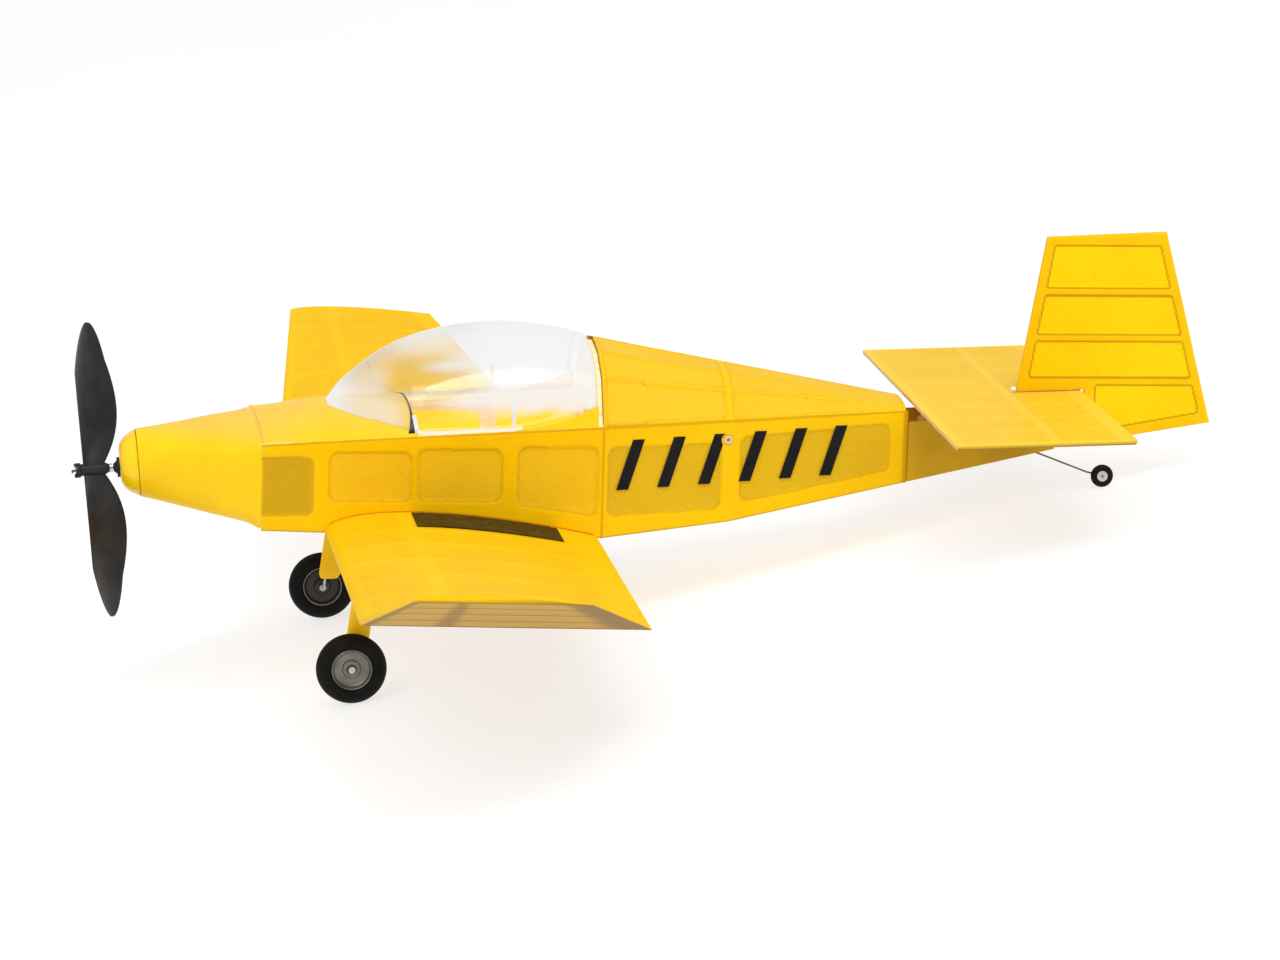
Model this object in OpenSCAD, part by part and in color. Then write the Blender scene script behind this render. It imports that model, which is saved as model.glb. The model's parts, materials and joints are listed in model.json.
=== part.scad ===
// Rubber-powered free-flight model of a two-seat low-wing light aeroplane.
// The airframe is laid out level: X runs aft from the nose block's face, Y to starboard, Z up. The nose
// block and propeller lean forward about the origin. The whole model is then set down on its three wheels.

/* [Fuselage] */
// Full width of the cabin
cabin_width = 106; // [100:1:112]
// Station of the cowl's rear edge
cowl_rear_x = 67; // [64:1:70]
// Station of the cabin's rear bulkhead
bulkhead_x = 235; // [234:1:238]
// Station of the motor peg
peg_x = 299; // [294:1:304]
// Station where the turtledeck ends
deck_end_x = 392; // [388:1:394]
// Station of the sternpost's rear face
sternpost_x = 472; // [468:1:474]
// Thickness of the balsa side sheets
side_t = 1.5; // [1:0.1:2]

/* [Canopy] */
// Station of the canopy's front tip
canopy_front_x = 102; // [100:1:104]
// Thickness of the clear shell
canopy_t = 0.6; // [0.5:0.1:1]

/* [Wing] */
// Wing span from tip to tip
wing_span = 750; // [740:2:760]
// Station of the leading edge in the centre panel
wing_x = 98.5; // [97:0.5:99]
// Chord of the centre panel
wing_chord = 134; // [130:1:134]
// Distance from the centre line to the dihedral break
break_y = 258; // [250:1:262]
// Height gained by each outer panel
tip_rise = 37; // [25:1:45]
// Sweep of the leading edge over each outer panel
tip_sweep = 12.5; // [6:0.5:18]
// Chord at the wing tip
tip_chord = 79; // [74:1:90]
// Height of the airfoil over its flat underside
airfoil_rise = 10.3; // [9.5:0.1:11]
// Share of that height left at the wing tip
tip_thinning = 0.28; // [0.25:0.01:0.6]

/* [Tail] */
// Full span of the stabiliser
stab_span = 264; // [250:2:280]
// Chord of the stabiliser
stab_chord = 89; // [87:0.5:90]
// Height that the stabiliser's trailing edge stands above its leading edge
stab_rise = 3; // [2:0.5:4]
// Thickness of the rudder frame
rudder_t = 2.6; // [2.4:0.1:3]

/* [Propeller] */
// Diameter of the propeller
prop_d = 150; // [140:2:156]
// Distance that the propeller would screw forward in one turn
prop_pitch = 215; // [180:5:240]
// Widest chord of a blade
blade_chord = 28; // [24:1:30]
// Angle by which the thrust line dips towards the front
down_thrust = 5; // [0:0.5:7]
// Angle at which the propeller rests, from upright
prop_rest_angle = 24; // [0:1:90]

/* [Wheels] */
// Diameter of the main tyres
main_d = 34.6; // [32:0.2:36]
// Distance between the main wheels' centre planes
track = 187; // [180:1:194]
// Diameter of the tail tyre
tail_d = 11.6; // [11:0.2:13]

/* [Hidden] */
$fn = 48;

yellow = [0.98, 0.8, 0.08];
balsa = [0.87, 0.72, 0.5];
black = [0.12, 0.12, 0.13];
steel = [0.7, 0.7, 0.72];
rubber = [0.75, 0.62, 0.4];
hub_grey = [0.5, 0.49, 0.44];

// Small gap left where a rib or spar lies against a skin
gap = 0.15;
skin_t = 0.4;
half_cabin = cabin_width / 2;
half_stern = 3;
cowl_front_x = 9;
panel_x = 143;
mid_former_x = 189;
aft_former_x = peg_x + 8.6;
tail_former_x = 345;
floor_z = -7.8;
nose_r = 17;
nose_z = 1.6;

// ---- Attitude on the ground ----
main_axle = [109, track / 2, -81];
tail_axle = [498, 0, -4];
axle_run = tail_axle[0] - main_axle[0];
axle_rise = tail_axle[2] - main_axle[2];
ground_angle = atan2(axle_rise, axle_run)
    + asin((main_d - tail_d) / 2 / norm([axle_run, axle_rise]));
ground_lift = main_d / 2 + main_axle[0] * sin(ground_angle) - main_axle[2] * cos(ground_angle);
// Distance from the nose to the middle of the whole model, measured along the ground
middle_x = 257.5;

// Sets the level airframe down on its wheels, over the middle of its own outline.
module stance() {
    translate([-middle_x, 0, ground_lift]) rotate([0, ground_angle, 0]) children();
}

// Leans the nose block, its former and the propeller forward about the nose block's face.
module thrust_line() {
    rotate([0, -down_thrust, 0]) children();
}

function on_thrust(p) = [p[0] * cos(down_thrust) - p[2] * sin(down_thrust), p[1],
    p[0] * sin(down_thrust) + p[2] * cos(down_thrust)];

// ---- Fuselage lines ----
bottom_line = [[cowl_front_x, -nose_r + nose_z], [cowl_rear_x, -21.2], [wing_x, -22.2], [bulkhead_x, -25],
    [300, -19.5], [sternpost_x, 10.5]];
top_line = [[cowl_front_x, 10], [cowl_rear_x, 21.8], [bulkhead_x, 31], [deck_end_x, 33.2]];
crown_line = [[cowl_rear_x, 26], [78, 28.6], [canopy_front_x, 33], [panel_x, 34.5]];
// How quickly the crown's arch falls away towards the sides
crown_fall = 1.5;
ridge_line = [[bulkhead_x, 67], [deck_end_x, 36.6]];

function lerp(a, b, t) = a + (b - a) * t;
function flatten(rows) = [for (row = rows) each row];
function half_width(x) = lookup(x, [[cowl_rear_x, half_cabin], [bulkhead_x, half_cabin],
    [sternpost_x, half_stern]]);
function bottom_z(x) = lookup(x, bottom_line);
function top_z(x) = lookup(x, top_line);
function crown_z(x) = lookup(x, crown_line);
function ridge_z(x) = lookup(x, ridge_line);

// ---- Wing lines ----
wing_root_z = -21.5;
wing_drop = 2.5;
outer_span = wing_span / 2 - break_y;
airfoil_steps = 14;

// Height of the upper surface, as a share of its highest point, at a share u of the chord
function airfoil_shape(u) = sqrt(u) * (1 - u) / 0.385;
function wing_chord_at(t) = lerp(wing_chord, tip_chord, t);
function wing_x_at(t) = wing_x + tip_sweep * t;
function wing_z_at(t) = wing_root_z + tip_rise * t;
// Height of the wing's upper surface at station x of the centre panel
function wing_top_z(x) = let (u = min(max((x - wing_x) / wing_chord, 0), 1))
    wing_root_z - wing_drop * u + airfoil_rise * airfoil_shape(u);

// Share of the chord at step i of n: the steps close up towards both edges
function airfoil_u(i, n) = let (s = i / n) s * s * (3 - 2 * s);

// One airfoil loop as [x, z] points from u0 to u1 of the chord in n steps, drawn in by inset from the
// outer surface
function airfoil_loop(t, u0, u1, inset, n = airfoil_steps) = let (c = wing_chord_at(t),
        rise = airfoil_rise * lerp(1, tip_thinning, t))
    concat(
        [for (i = [0:n]) let (u = lerp(u0, u1, airfoil_u(i, n)))
            [wing_x_at(t) + c * u, wing_z_at(t) - wing_drop * u * c / wing_chord
                + max(rise * airfoil_shape(u) - inset, min(inset, 0.1))]],
        [for (i = [n:-1:0]) let (u = lerp(u0, u1, airfoil_u(i, n)))
            [wing_x_at(t) + c * u, wing_z_at(t) - wing_drop * u * c / wing_chord
                - 0.5 + min(inset, 0.5)]]);

// ---- Tail lines ----
stab_x = 396;
stab_z = 36;
stab_t = 2;
stab_angle = atan2(stab_rise, stab_chord);
post_x = 470;
post_r = 0.5;
running_fit = 0.05;
rudder_foot_z = 40;
rudder_notch_x = 486.6;
rudder_points = [[452, rudder_foot_z], [464.7, 118.4], [525.6, 121.4], [552, 24.2], [rudder_notch_x, 13.4],
    [rudder_notch_x, rudder_foot_z + 1.1]];

// ---- Closed solids from rows of points ----

// Triangles that join two neighbouring rows of n points; wrap closes each row on itself.
function row_faces(a, b, n, wrap) = [for (i = [0:(wrap ? n - 1 : n - 2)]) let (j = (i + 1) % n)
    each [[a + i, b + i, a + j], [a + j, b + i, b + j]]];

// Closed solid through sections of equal length, with flat ends.
module loft(sections) {
    n = len(sections[0]);
    m = len(sections);
    polyhedron(points = flatten(sections), faces = concat(
        [[for (i = [0:n - 1]) i]],
        [for (k = [0:m - 2]) each row_faces(k * n, (k + 1) * n, n, true)],
        [[for (i = [n - 1:-1:0]) (m - 1) * n + i]]));
}

// Thin tube between an outer and an inner set of closed sections.
module tube_skin(outer, inner) {
    n = len(outer[0]);
    m = len(outer);
    inside = n * m;
    polyhedron(points = concat(flatten(outer), flatten(inner)), faces = concat(
        [for (k = [0:m - 2]) each row_faces(k * n, (k + 1) * n, n, true)],
        [for (k = [0:m - 2]) each row_faces(inside + (k + 1) * n, inside + k * n, n, true)],
        row_faces(inside, 0, n, true),
        row_faces((m - 1) * n, inside + (m - 1) * n, n, true)));
}

// Thin open sheet between an outer and an inner grid of points.
module sheet_skin(outer, inner) {
    n = len(outer[0]);
    m = len(outer);
    inside = n * m;
    function edge(a, b, c, d) = [[a, c, b], [b, c, d]];
    polyhedron(points = concat(flatten(outer), flatten(inner)), faces = concat(
        [for (k = [0:m - 2]) each row_faces(k * n, (k + 1) * n, n, false)],
        [for (k = [0:m - 2]) each row_faces(inside + (k + 1) * n, inside + k * n, n, false)],
        row_faces(inside, 0, n, false),
        row_faces((m - 1) * n, inside + (m - 1) * n, n, false),
        [for (k = [0:m - 2]) each edge(k * n, (k + 1) * n, inside + k * n, inside + (k + 1) * n)],
        [for (k = [0:m - 2]) each edge((k + 1) * n + n - 1, k * n + n - 1,
            inside + (k + 1) * n + n - 1, inside + k * n + n - 1)]));
}

// Straight bar from p to q; a and b are half of its section's sides.
module bar(p, q, a, b) {
    loft([for (c = [p, q]) [c - a - b, c + a - b, c + a + b, c - a + b]]);
}

// Plate in a vertical plane across the fuselage, from x towards the tail.
module plate_at(x, t) {
    translate([x, 0, 0]) rotate([90, 0, 90]) linear_extrude(t) children();
}

// Extrudes a side view right across the model.
module across(half) {
    rotate([90, 0, 0]) linear_extrude(2 * half, center = true) children();
}

// Cylinder along X.
module rod_x(x0, x1, r) {
    translate([x0, 0, 0]) rotate([0, 90, 0]) cylinder(h = x1 - x0, r = r);
}

// Cylinder along Y.
module rod_y(y0, y1, r) {
    translate([0, y0, 0]) rotate([-90, 0, 0]) cylinder(h = y1 - y0, r = r);
}

module mirrored() {
    children();
    mirror([0, 1, 0]) children();
}

// ---- Fuselage sections ----
side_steps = 4;
crown_steps = 6;

// Half of the box section with a crowned top, from bottom centre to top centre, as [y, z]
function box_half(x, inset) = let (w = half_width(x) - inset, zb = bottom_z(x) + inset,
        zt = top_z(x) - 0.7 * inset, h = crown_z(x) - inset - zt)
    concat(
        [for (i = [0:side_steps]) [w * i / side_steps, zb]],
        [for (i = [1:side_steps]) [w, lerp(zb, zt, i / side_steps)]],
        [for (i = [1:crown_steps]) let (a = 90 * i / crown_steps)
            [w * cos(a), zt + h * pow(sin(a), crown_fall)]]);

cowl_points = 2 * side_steps + crown_steps;
// Directions in which the box's bottom corner and top corner start out from the round front
corner_angles = [-62, 30];
function cowl_angle(i) = i <= side_steps ? lerp(-90, corner_angles[0], i / side_steps)
    : i <= 2 * side_steps ? lerp(corner_angles[0], corner_angles[1], (i - side_steps) / side_steps)
    : lerp(corner_angles[1], 90, (i - 2 * side_steps) / crown_steps);

// Half of the round section at the cowl's front, which leans with the nose block
function round_half(inset) = [for (i = [0:cowl_points]) let (a = cowl_angle(i), r = nose_r - inset)
    on_thrust([cowl_front_x, r * cos(a), nose_z + r * sin(a)])];

// Whole loop of the cowl at a share t of the way from its round front to its box-shaped rear
function cowl_loop(t, inset) = let (a = round_half(inset), b = box_half(cowl_rear_x, inset),
        half = [for (i = [0:cowl_points]) lerp(a[i], [cowl_rear_x, b[i][0], b[i][1]], t)])
    concat(half, [for (i = [cowl_points - 1:-1:1]) [half[i][0], -half[i][1], half[i][2]]]);

// Faceted turtledeck arc at x as [y, z], from starboard over the ridge to port
deck_angles = [0, 38, 64, 90, 116, 142, 180];
function deck_arc(x, inset) = [for (a = deck_angles)
    [(half_width(x) - inset) * cos(a), top_z(x) + (ridge_z(x) - top_z(x) - inset) * sin(a)]];

// Crowned front deck arc at x, from starboard to port
function crown_arc(x, inset) = [for (i = [0:2 * crown_steps]) let (a = 90 * i / crown_steps)
    [(half_width(x) - inset) * cos(a),
        top_z(x) + (crown_z(x) - top_z(x) - inset) * pow(sin(a), crown_fall)]];

function arc_at(x, arc) = [for (p = arc) [x, p[0], p[1]]];

// Ring former: the fuselage's inside outline at x less a window that leaves a rim.
// An open ring has no top bar.
module ring(x, t, foot, rim, open = false) {
    w = half_width(x + t) - side_t - gap;
    top = top_z(x) - gap;
    window_top = open ? top + 1 : top_z(x) - rim;
    plate_at(x, t) difference() {
        polygon([[-w, foot], [w, foot], [w, top], [-w, top]]);
        polygon([[-w + rim, foot + rim], [w - rim, foot + rim],
            [w - rim, window_top], [-w + rim, window_top]]);
    }
}

// ---- Side walls: a plan strip crossed with a side view ----
module wall_strip(x0, x1, out0, out1) {
    translate([0, 0, -60]) linear_extrude(200) polygon(concat(
        [for (x = [x0, bulkhead_x, x1]) if (x >= x0 && x <= x1) [x, half_width(x) + out1]],
        [for (x = [x1, bulkhead_x, x0]) if (x >= x0 && x <= x1) [x, half_width(x) + out0]]));
}

// Side view of the fuselage from x0 to x1, cut away over the wing
module side_view(x0, x1) {
    wing_end = wing_x + wing_chord;
    edge = concat([x0],
        [for (i = [0:airfoil_steps]) wing_x + wing_chord * airfoil_u(i, airfoil_steps)],
        [for (x = [bulkhead_x, 300, x1]) if (x > x0 && x <= x1) x]);
    polygon(concat(
        [for (x = edge) [x, x > wing_x && x < wing_end ? wing_top_z(x) + 0.25 : bottom_z(x)]],
        [for (x = [x1, bulkhead_x, x0]) if (x >= x0 && x <= x1) [x, top_z(x)]]));
}

module rounded_window(points, r) {
    offset(r = r) offset(delta = -r) polygon(points);
}

// Lightening holes, each a four-sided window with round corners
windows = [
    [[60, -13.4], [92, -13.4], [92, 15.3], [60, 15.3]],
    [[100.3, -6.5], [140.5, -6.5], [140.5, 17.9], [100.3, 17.9]],
    [[143.5, -6.5], [184.7, -6.5], [184.7, 19.5], [143.5, 19.5]],
    [[193.3, -8.5], [232.5, -14], [232.5, 20.5], [193.3, 20.5]],
    [[238, -13.7], [295.5, -12.5], [295.5, 20.2], [238, 20.2]],
    [[306, -10], [383.5, 3.3], [383.5, 26.8], [306, 23]]];

module side_sheet() {
    intersection() {
        wall_strip(cowl_rear_x, deck_end_x, -side_t, 0);
        across(70) difference() {
            side_view(cowl_rear_x, deck_end_x);
            for (w = windows) rounded_window(w, 4);
            translate([peg_x, 22]) circle(r = 2.1);
        }
    }
}

module side_covering() {
    intersection() {
        wall_strip(cowl_rear_x, deck_end_x, 0.02, skin_t);
        across(70) difference() {
            side_view(cowl_rear_x, deck_end_x);
            translate([peg_x, 22]) circle(r = 2.1);
        }
    }
}

// Generic band of slanted bars on the rear fuselage side
bar_count = 6;
module marking() {
    intersection() {
        wall_strip(bulkhead_x + 3, deck_end_x - 20, skin_t + 0.02, skin_t + 0.3);
        across(70) difference() {
            for (i = [0:bar_count - 1]) translate([242 + 21 * i, -1 + 0.6 * i])
                polygon([[0, 0], [6, 0], [14, 25], [8, 25]]);
            translate([peg_x, 22]) circle(r = 3.5);
        }
    }
}

// ---- Nose and motor ----
module propeller_blade() {
    stations = 13;
    root_r = 2;
    front_x = -18;
    widest = 0.62;
    rounding = 0.85;
    function chord(s) = s < widest ? blade_chord * (0.32 + 0.68 * sin(90 * s / widest))
        : blade_chord * sqrt(max(1 - pow((s - widest) / (1.006 - widest), 2.2), 0));
    function pitch_angle(r) = atan(prop_pitch / (2 * PI * r));
    function section(r) = let (s = r / (prop_d / 2), c = chord(s), a = pitch_angle(r),
            t = lerp(2.2, 0.9, s), near = min(s, rounding),
            mid = front_x + chord(near) * sin(pitch_angle(near * prop_d / 2)) / 2)
        [for (k = [0:11]) let (q = -360 * k / 12, u = cos(q) * c / 2,
                v = sin(q) * t / 2 + 0.06 * c * (1 - pow(cos(q), 2)))
            [mid - v * cos(a) + u * sin(a), -u * cos(a) - v * sin(a), r]];
    loft([for (i = [0:stations]) section(lerp(root_r, prop_d / 2, sin(90 * i / stations)))]);
}

module propeller() {
    color(black) stance() thrust_line() rotate([-prop_rest_angle, 0, 0]) difference() {
        union() {
            rod_x(-19.5, -7, 3);
            rod_x(-22.6, -19.4, 3.7);
            translate([-7.05, 0, 0]) rotate([0, 90, 0]) cylinder(h = 2, r1 = 3, r2 = 1.8);
            for (side = [0, 180]) rotate([side, 0, 0]) propeller_blade();
        }
        rod_x(-30, 0, 0.65);
        translate([-22.7, 0, 0]) rotate([90, 0, 0])
            linear_extrude(10, center = true) polygon([[-0.1, -2.6], [-0.1, 2.6], [2.1, 0]]);
    }
}

shaft_r = 0.6;
hook_r = 3.6;
hook_x = 24;
module prop_shaft() {
    color(steel) stance() thrust_line() rotate([-prop_rest_angle, 0, 0]) {
        rod_x(-23.4, hook_x - hook_r, shaft_r);
        translate([-23.4, 0, 0]) rotate([-90, 0, 0]) cylinder(h = 3.2, r = shaft_r);
        translate([-23.4, 0, 0]) sphere(r = shaft_r, $fn = 24);
        translate([hook_x, 0, 0]) rotate([90, 0, 0]) rotate([0, 0, -150])
            rotate_extrude(angle = 330) translate([hook_r, 0]) circle(r = shaft_r, $fn = 24);
    }
}

module thrust_washers() {
    color(steel) stance() thrust_line() for (x = [-4.9, -4.1]) difference() {
        rod_x(x, x + 0.5, 2.2);
        rod_x(x - 1, x + 1, 0.65);
    }
}

skein_front_x = 38;
module motor_front_loop() {
    color(rubber) stance() thrust_line() rotate([-prop_rest_angle, 0, 0])
        for (z = [-1, 1]) translate([0, 0, 0.9 * z])
            hull() {
                translate([26.1, 0, 0.4 * z]) sphere(r = 0.9, $fn = 16);
                translate([skein_front_x - 1, 0, 2.2 * z]) sphere(r = 0.9, $fn = 16);
            }
}

module nose_bearing() {
    color(black) stance() thrust_line() difference() {
        union() {
            rod_x(-1.4, 0, 5);
            translate([-3.2, 0, 0]) rotate([0, 90, 0]) cylinder(h = 1.9, r1 = 1.9, r2 = 3.4);
            rod_x(-0.1, 19, 1.9);
        }
        rod_x(-5, 20, shaft_r + running_fit);
    }
}

plug_side = 19;
plug_x = 17;
module nose_block() {
    color(yellow) stance() thrust_line() difference() {
        union() {
            translate([0, 0, nose_z]) rotate([0, 90, 0]) rotate_extrude($fn = 64)
                polygon([[0, 0], [8.4, 0], [10.3, 0.7], [12.6, 2.6], [14.4, 5], [15.8, 7.4],
                    [nose_r - 0.2, cowl_front_x - 0.15], [0, cowl_front_x - 0.15]]);
            translate([(plug_x + 8) / 2, 0, nose_z])
                cube([plug_x - 8, plug_side, plug_side], center = true);
        }
        rod_x(-1, 20, 1.95);
    }
}

module nose_former() {
    color(balsa) stance() thrust_line() difference() {
        plate_at(cowl_front_x + 1, 3) translate([0, nose_z]) circle(r = nose_r - 2);
        translate([12, 0, nose_z]) cube([20, plug_side + 0.3, plug_side + 0.3], center = true);
    }
}

module cowl() {
    rows = [0:0.2:1];
    color(yellow) stance() tube_skin([for (t = rows) cowl_loop(t, 0)], [for (t = rows) cowl_loop(t, 1.6)]);
}

module firewall() {
    color(balsa) stance() ring(cowl_rear_x + gap, 2, bottom_z(cowl_rear_x) + 2, 9);
}

module rubber_motor() {
    peg = [peg_x, 0, 22];
    front = on_thrust([skein_front_x, 0, 0]) + [0.35, 0, 0];
    color(rubber) stance() loft([for (c = [front, [60, 0, 4.2], [200, 0, 14], peg - [6, 0, 0.7]])
        [for (k = [0:9]) c + 3.4 * [0, cos(36 * k), sin(36 * k)]]]);
}

module motor_peg() {
    color(steel) stance() translate([peg_x, 0, 22]) difference() {
        rod_y(-half_width(peg_x) - 0.8, half_width(peg_x) + 0.8, 2);
        rod_y(-60, 60, 1.2);
    }
}

module peg_plates() {
    color(balsa) stance() mirrored() intersection() {
        wall_strip(peg_x - 8, peg_x + 8, -side_t - 1, -side_t - 0.05);
        translate([peg_x, 0, 20]) rotate([-90, 0, 0]) difference() {
            translate([-7, -4, 0]) cube([14, 12, 70]);
            translate([0, -2, 0]) cylinder(h = 70, r = 2.05);
        }
    }
}

// ---- Fuselage structure ----
module front_deck() {
    rows = [cowl_rear_x + 0.1, 78, 90, canopy_front_x, 122, panel_x];
    color(yellow) stance() sheet_skin([for (x = rows) arc_at(x, crown_arc(x, 0))],
        [for (x = rows) arc_at(x, crown_arc(x, 1))]);
}

module instrument_panel() {
    w = half_cabin - side_t - 1;
    foot_z = 14;
    color(black) stance() plate_at(panel_x - 3, 1.5) polygon(concat([[w, foot_z], [w, top_z(panel_x) - 1]],
        [for (i = [1:2 * crown_steps - 1]) let (a = 90 * i / crown_steps)
            [(w - 0.5) * cos(a),
                top_z(panel_x) + (crown_z(panel_x) - top_z(panel_x) - 1.4) * pow(sin(a), crown_fall)]],
        [[-w, top_z(panel_x) - 1], [-w, foot_z]]));
}

// Bulkhead behind the seats: it closes the cabin and carries the canopy's rear edge
module rear_bulkhead() {
    w = half_cabin - side_t - gap;
    color(balsa) stance() plate_at(bulkhead_x - 2.4, 2) difference() {
        polygon(concat([[w, -22], [w, top_z(bulkhead_x)]],
            [for (i = [1:5]) deck_arc(bulkhead_x, 2)[i]],
            [[-w, top_z(bulkhead_x)], [-w, -22]]));
        translate([0, 18]) circle(r = 13);
        for (y = [-32, 32]) translate([y, 12]) circle(r = 11);
    }
}

module fuselage_formers() {
    color(balsa) stance() {
        ring(mid_former_x, 2, floor_z + 1.2 + gap, 5, open = true);
        ring(aft_former_x, 1.6, bottom_z(aft_former_x + 2) + 1.4, 5);
        ring(tail_former_x, 1.6, bottom_z(tail_former_x + 2) + 1.4, 4);
        ring(deck_end_x - 2, 1.6, bottom_z(deck_end_x) + 1.4, 3.5);
    }
}

longeron_s = 1.5;
function longeron(x, z) = [x, half_width(x) - side_t - longeron_s - gap, z];
module longerons() {
    a = [0, longeron_s, 0];
    b = [0, 0, longeron_s];
    color(balsa) stance() mirrored() {
        difference() {
            bar(longeron(70, top_z(70) - 3), longeron(bulkhead_x - 3, top_z(bulkhead_x) - 3), a, b);
            former_slots();
        }
        difference() {
            union() {
                bar(longeron(bulkhead_x + 0.2, top_z(bulkhead_x) - 3),
                    longeron(deck_end_x - 4, top_z(deck_end_x) - 3), a, b);
                bar(longeron(bulkhead_x + 0.2, bottom_z(bulkhead_x) + 3.2),
                    longeron(300, bottom_z(300) + 3.2), a, b);
                bar(longeron(300, bottom_z(300) + 3.2),
                    longeron(deck_end_x - 4, bottom_z(deck_end_x - 4) + 3.2), a, b);
            }
            former_slots();
        }
    }
}

// Room that the longerons leave for each former and for the peg's plate
module former_slots() {
    for (f = [[panel_x - 3.2, 2], [mid_former_x - 0.2, 2.4], [tail_former_x - 0.2, 2], [peg_x - 8.2, 18.6]])
        translate([f[0], 0, -40]) cube([f[1], 80, 110]);
}

module cabin_floor() {
    x0 = panel_x + 1;
    half = half_cabin - side_t - 1;
    color(balsa) stance() translate([x0, -half, floor_z]) cube([bulkhead_x - 3 - x0, 2 * half, 1.2]);
}

module belly_sheets() {
    runs = [[cowl_rear_x + 0.1, wing_x - 0.6], [wing_x + wing_chord + 0.8, sternpost_x - 0.2]];
    color(yellow) stance() for (run = runs)
        intersection() {
            translate([0, 0, -60]) linear_extrude(120) polygon(concat(
                [for (x = [run[0], bulkhead_x, run[1]]) if (x >= run[0] && x <= run[1])
                    [x, half_width(x) - side_t - gap]],
                [for (x = [run[1], bulkhead_x, run[0]]) if (x >= run[0] && x <= run[1])
                    [x, -half_width(x) + side_t + gap]]));
            across(70) let (xs = [for (x = [run[0], bulkhead_x, 300, run[1]])
                    if (x >= run[0] && x <= run[1]) x], n = len(xs))
                polygon(concat([for (x = xs) [x, bottom_z(x)]],
                    [for (i = [n - 1:-1:0]) [xs[i], bottom_z(xs[i]) + 1.2]]));
        }
}

module side_left() {
    color(balsa) stance() mirror([0, 1, 0]) side_sheet();
}

module side_right() {
    color(balsa) stance() side_sheet();
}

module covering_left() {
    color(yellow) stance() mirror([0, 1, 0]) side_covering();
}

module covering_right() {
    color(yellow) stance() side_covering();
}

module marking_left() {
    color(black) stance() mirror([0, 1, 0]) marking();
}

module marking_right() {
    color(black) stance() marking();
}

// Triangular side pieces that rise from the sill to the rear bulkhead
module sill_fairings() {
    color(yellow) stance() mirrored() loft([
        for (x = [192, 205, 218, bulkhead_x - 2.6]) let (t = (x - 192) / (bulkhead_x - 194.6),
                z = top_z(x) + 0.05, w = half_cabin - 0.1, h = 0.3 + 9.5 * t * t)
            [[x, w - 1.2, z], [x, w, z], [x, w - 2.2 * t * t, z + h], [x, w - 1.2 - 2.2 * t * t, z + h]]]);
}

module turtledeck_formers() {
    color(balsa) stance() for (x = [bulkhead_x + 0.2, peg_x + 1, tail_former_x, deck_end_x - 2])
        plate_at(x, 1.4) difference() {
            polygon(deck_arc(x, 3.2));
            translate([0, -1]) polygon([for (p = deck_arc(x, 7)) [p[0] * 0.9, p[1]]]);
        }
}

module turtledeck_stringers() {
    s = 0.8;
    color(balsa) stance() for (i = [1:5]) let (x0 = bulkhead_x + 0.2, x1 = deck_end_x - 0.6,
            p = deck_arc(x0, 1.6)[i], q = deck_arc(x1, 1.6)[i])
        bar([x0, p[0], p[1]], [x1, q[0], q[1]], [0, s, 0], [0, 0, s]);
}

module turtledeck_covering() {
    rows = [for (i = [0:4]) lerp(bulkhead_x, deck_end_x, i / 4)];
    color(yellow) stance() sheet_skin([for (x = rows) arc_at(x, deck_arc(x, -0.1))],
        [for (x = rows) arc_at(x, deck_arc(x, skin_t))]);
}

// ---- Canopy ----
canopy_top = [[102, 34.6], [109, 43], [117, 50], [125, 56], [134, 61.4], [143, 65.3], [152, 68.3],
    [164, 71.3], [176, 73.1], [190, 73.9], [204, 73], [218, 70.8], [231, 67.5]];
canopy_base = [[102, 32.5], [109, 31.8], [117, 30.7], [125, 29.9], [134, 28.4], [143, 26.6], [152, 26.4],
    [190, 28.4], [204, 30.6], [218, 35], [231, 40.2]];
canopy_plan = [[102, 6], [109, 20.5], [117, 31], [125, 37], [134, 45], [143, 51.4], [152, half_cabin - 0.6],
    [190, half_cabin - 0.6], [204, half_cabin - 0.8], [218, half_cabin - 1.5], [231, half_cabin - 2.5]];
canopy_xs = [for (p = canopy_top) p[0]];
function canopy_arc(x, inset) = let (w = lookup(x, canopy_plan) - inset, zb = lookup(x, canopy_base) + 0.6,
        zt = lookup(x, canopy_top) - inset, n = 16)
    [for (i = [0:n]) let (a = 180 * i / n, c = cos(a), s = sin(a))
        [w * sign(c) * pow(abs(c), 0.9), zb + (zt - zb) * pow(s, 0.9)]];

module canopy() {
    color([0.9, 0.95, 1, 0.35]) stance() sheet_skin([for (x = canopy_xs) arc_at(x, canopy_arc(x, 0))],
        [for (x = canopy_xs) arc_at(x, canopy_arc(x, canopy_t))]);
}

// White frame: a hoop over the seats and the rear hoop
module canopy_frame() {
    color("white") stance() for (x = [190, 226]) let (wide = 1.6)
        sheet_skin([for (d = [0, wide]) arc_at(x + d, canopy_arc(x + d, canopy_t + 0.3))],
            [for (d = [0, wide]) arc_at(x + d, canopy_arc(x + d, canopy_t + 1.4))]);
}

// ---- Tail end of the fuselage ----
bay_top = [[deck_end_x + 1.6, 27.2], [sternpost_x, 33]];
module tail_bay_sides() {
    x0 = deck_end_x + 1.6;
    color(yellow) stance() mirrored() intersection() {
        wall_strip(x0, sternpost_x, -side_t, 0);
        across(70) polygon([[x0, bottom_z(x0)], [sternpost_x, bottom_z(sternpost_x)],
            [sternpost_x, lookup(sternpost_x, bay_top)], [x0, lookup(x0, bay_top)]]);
    }
}

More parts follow.
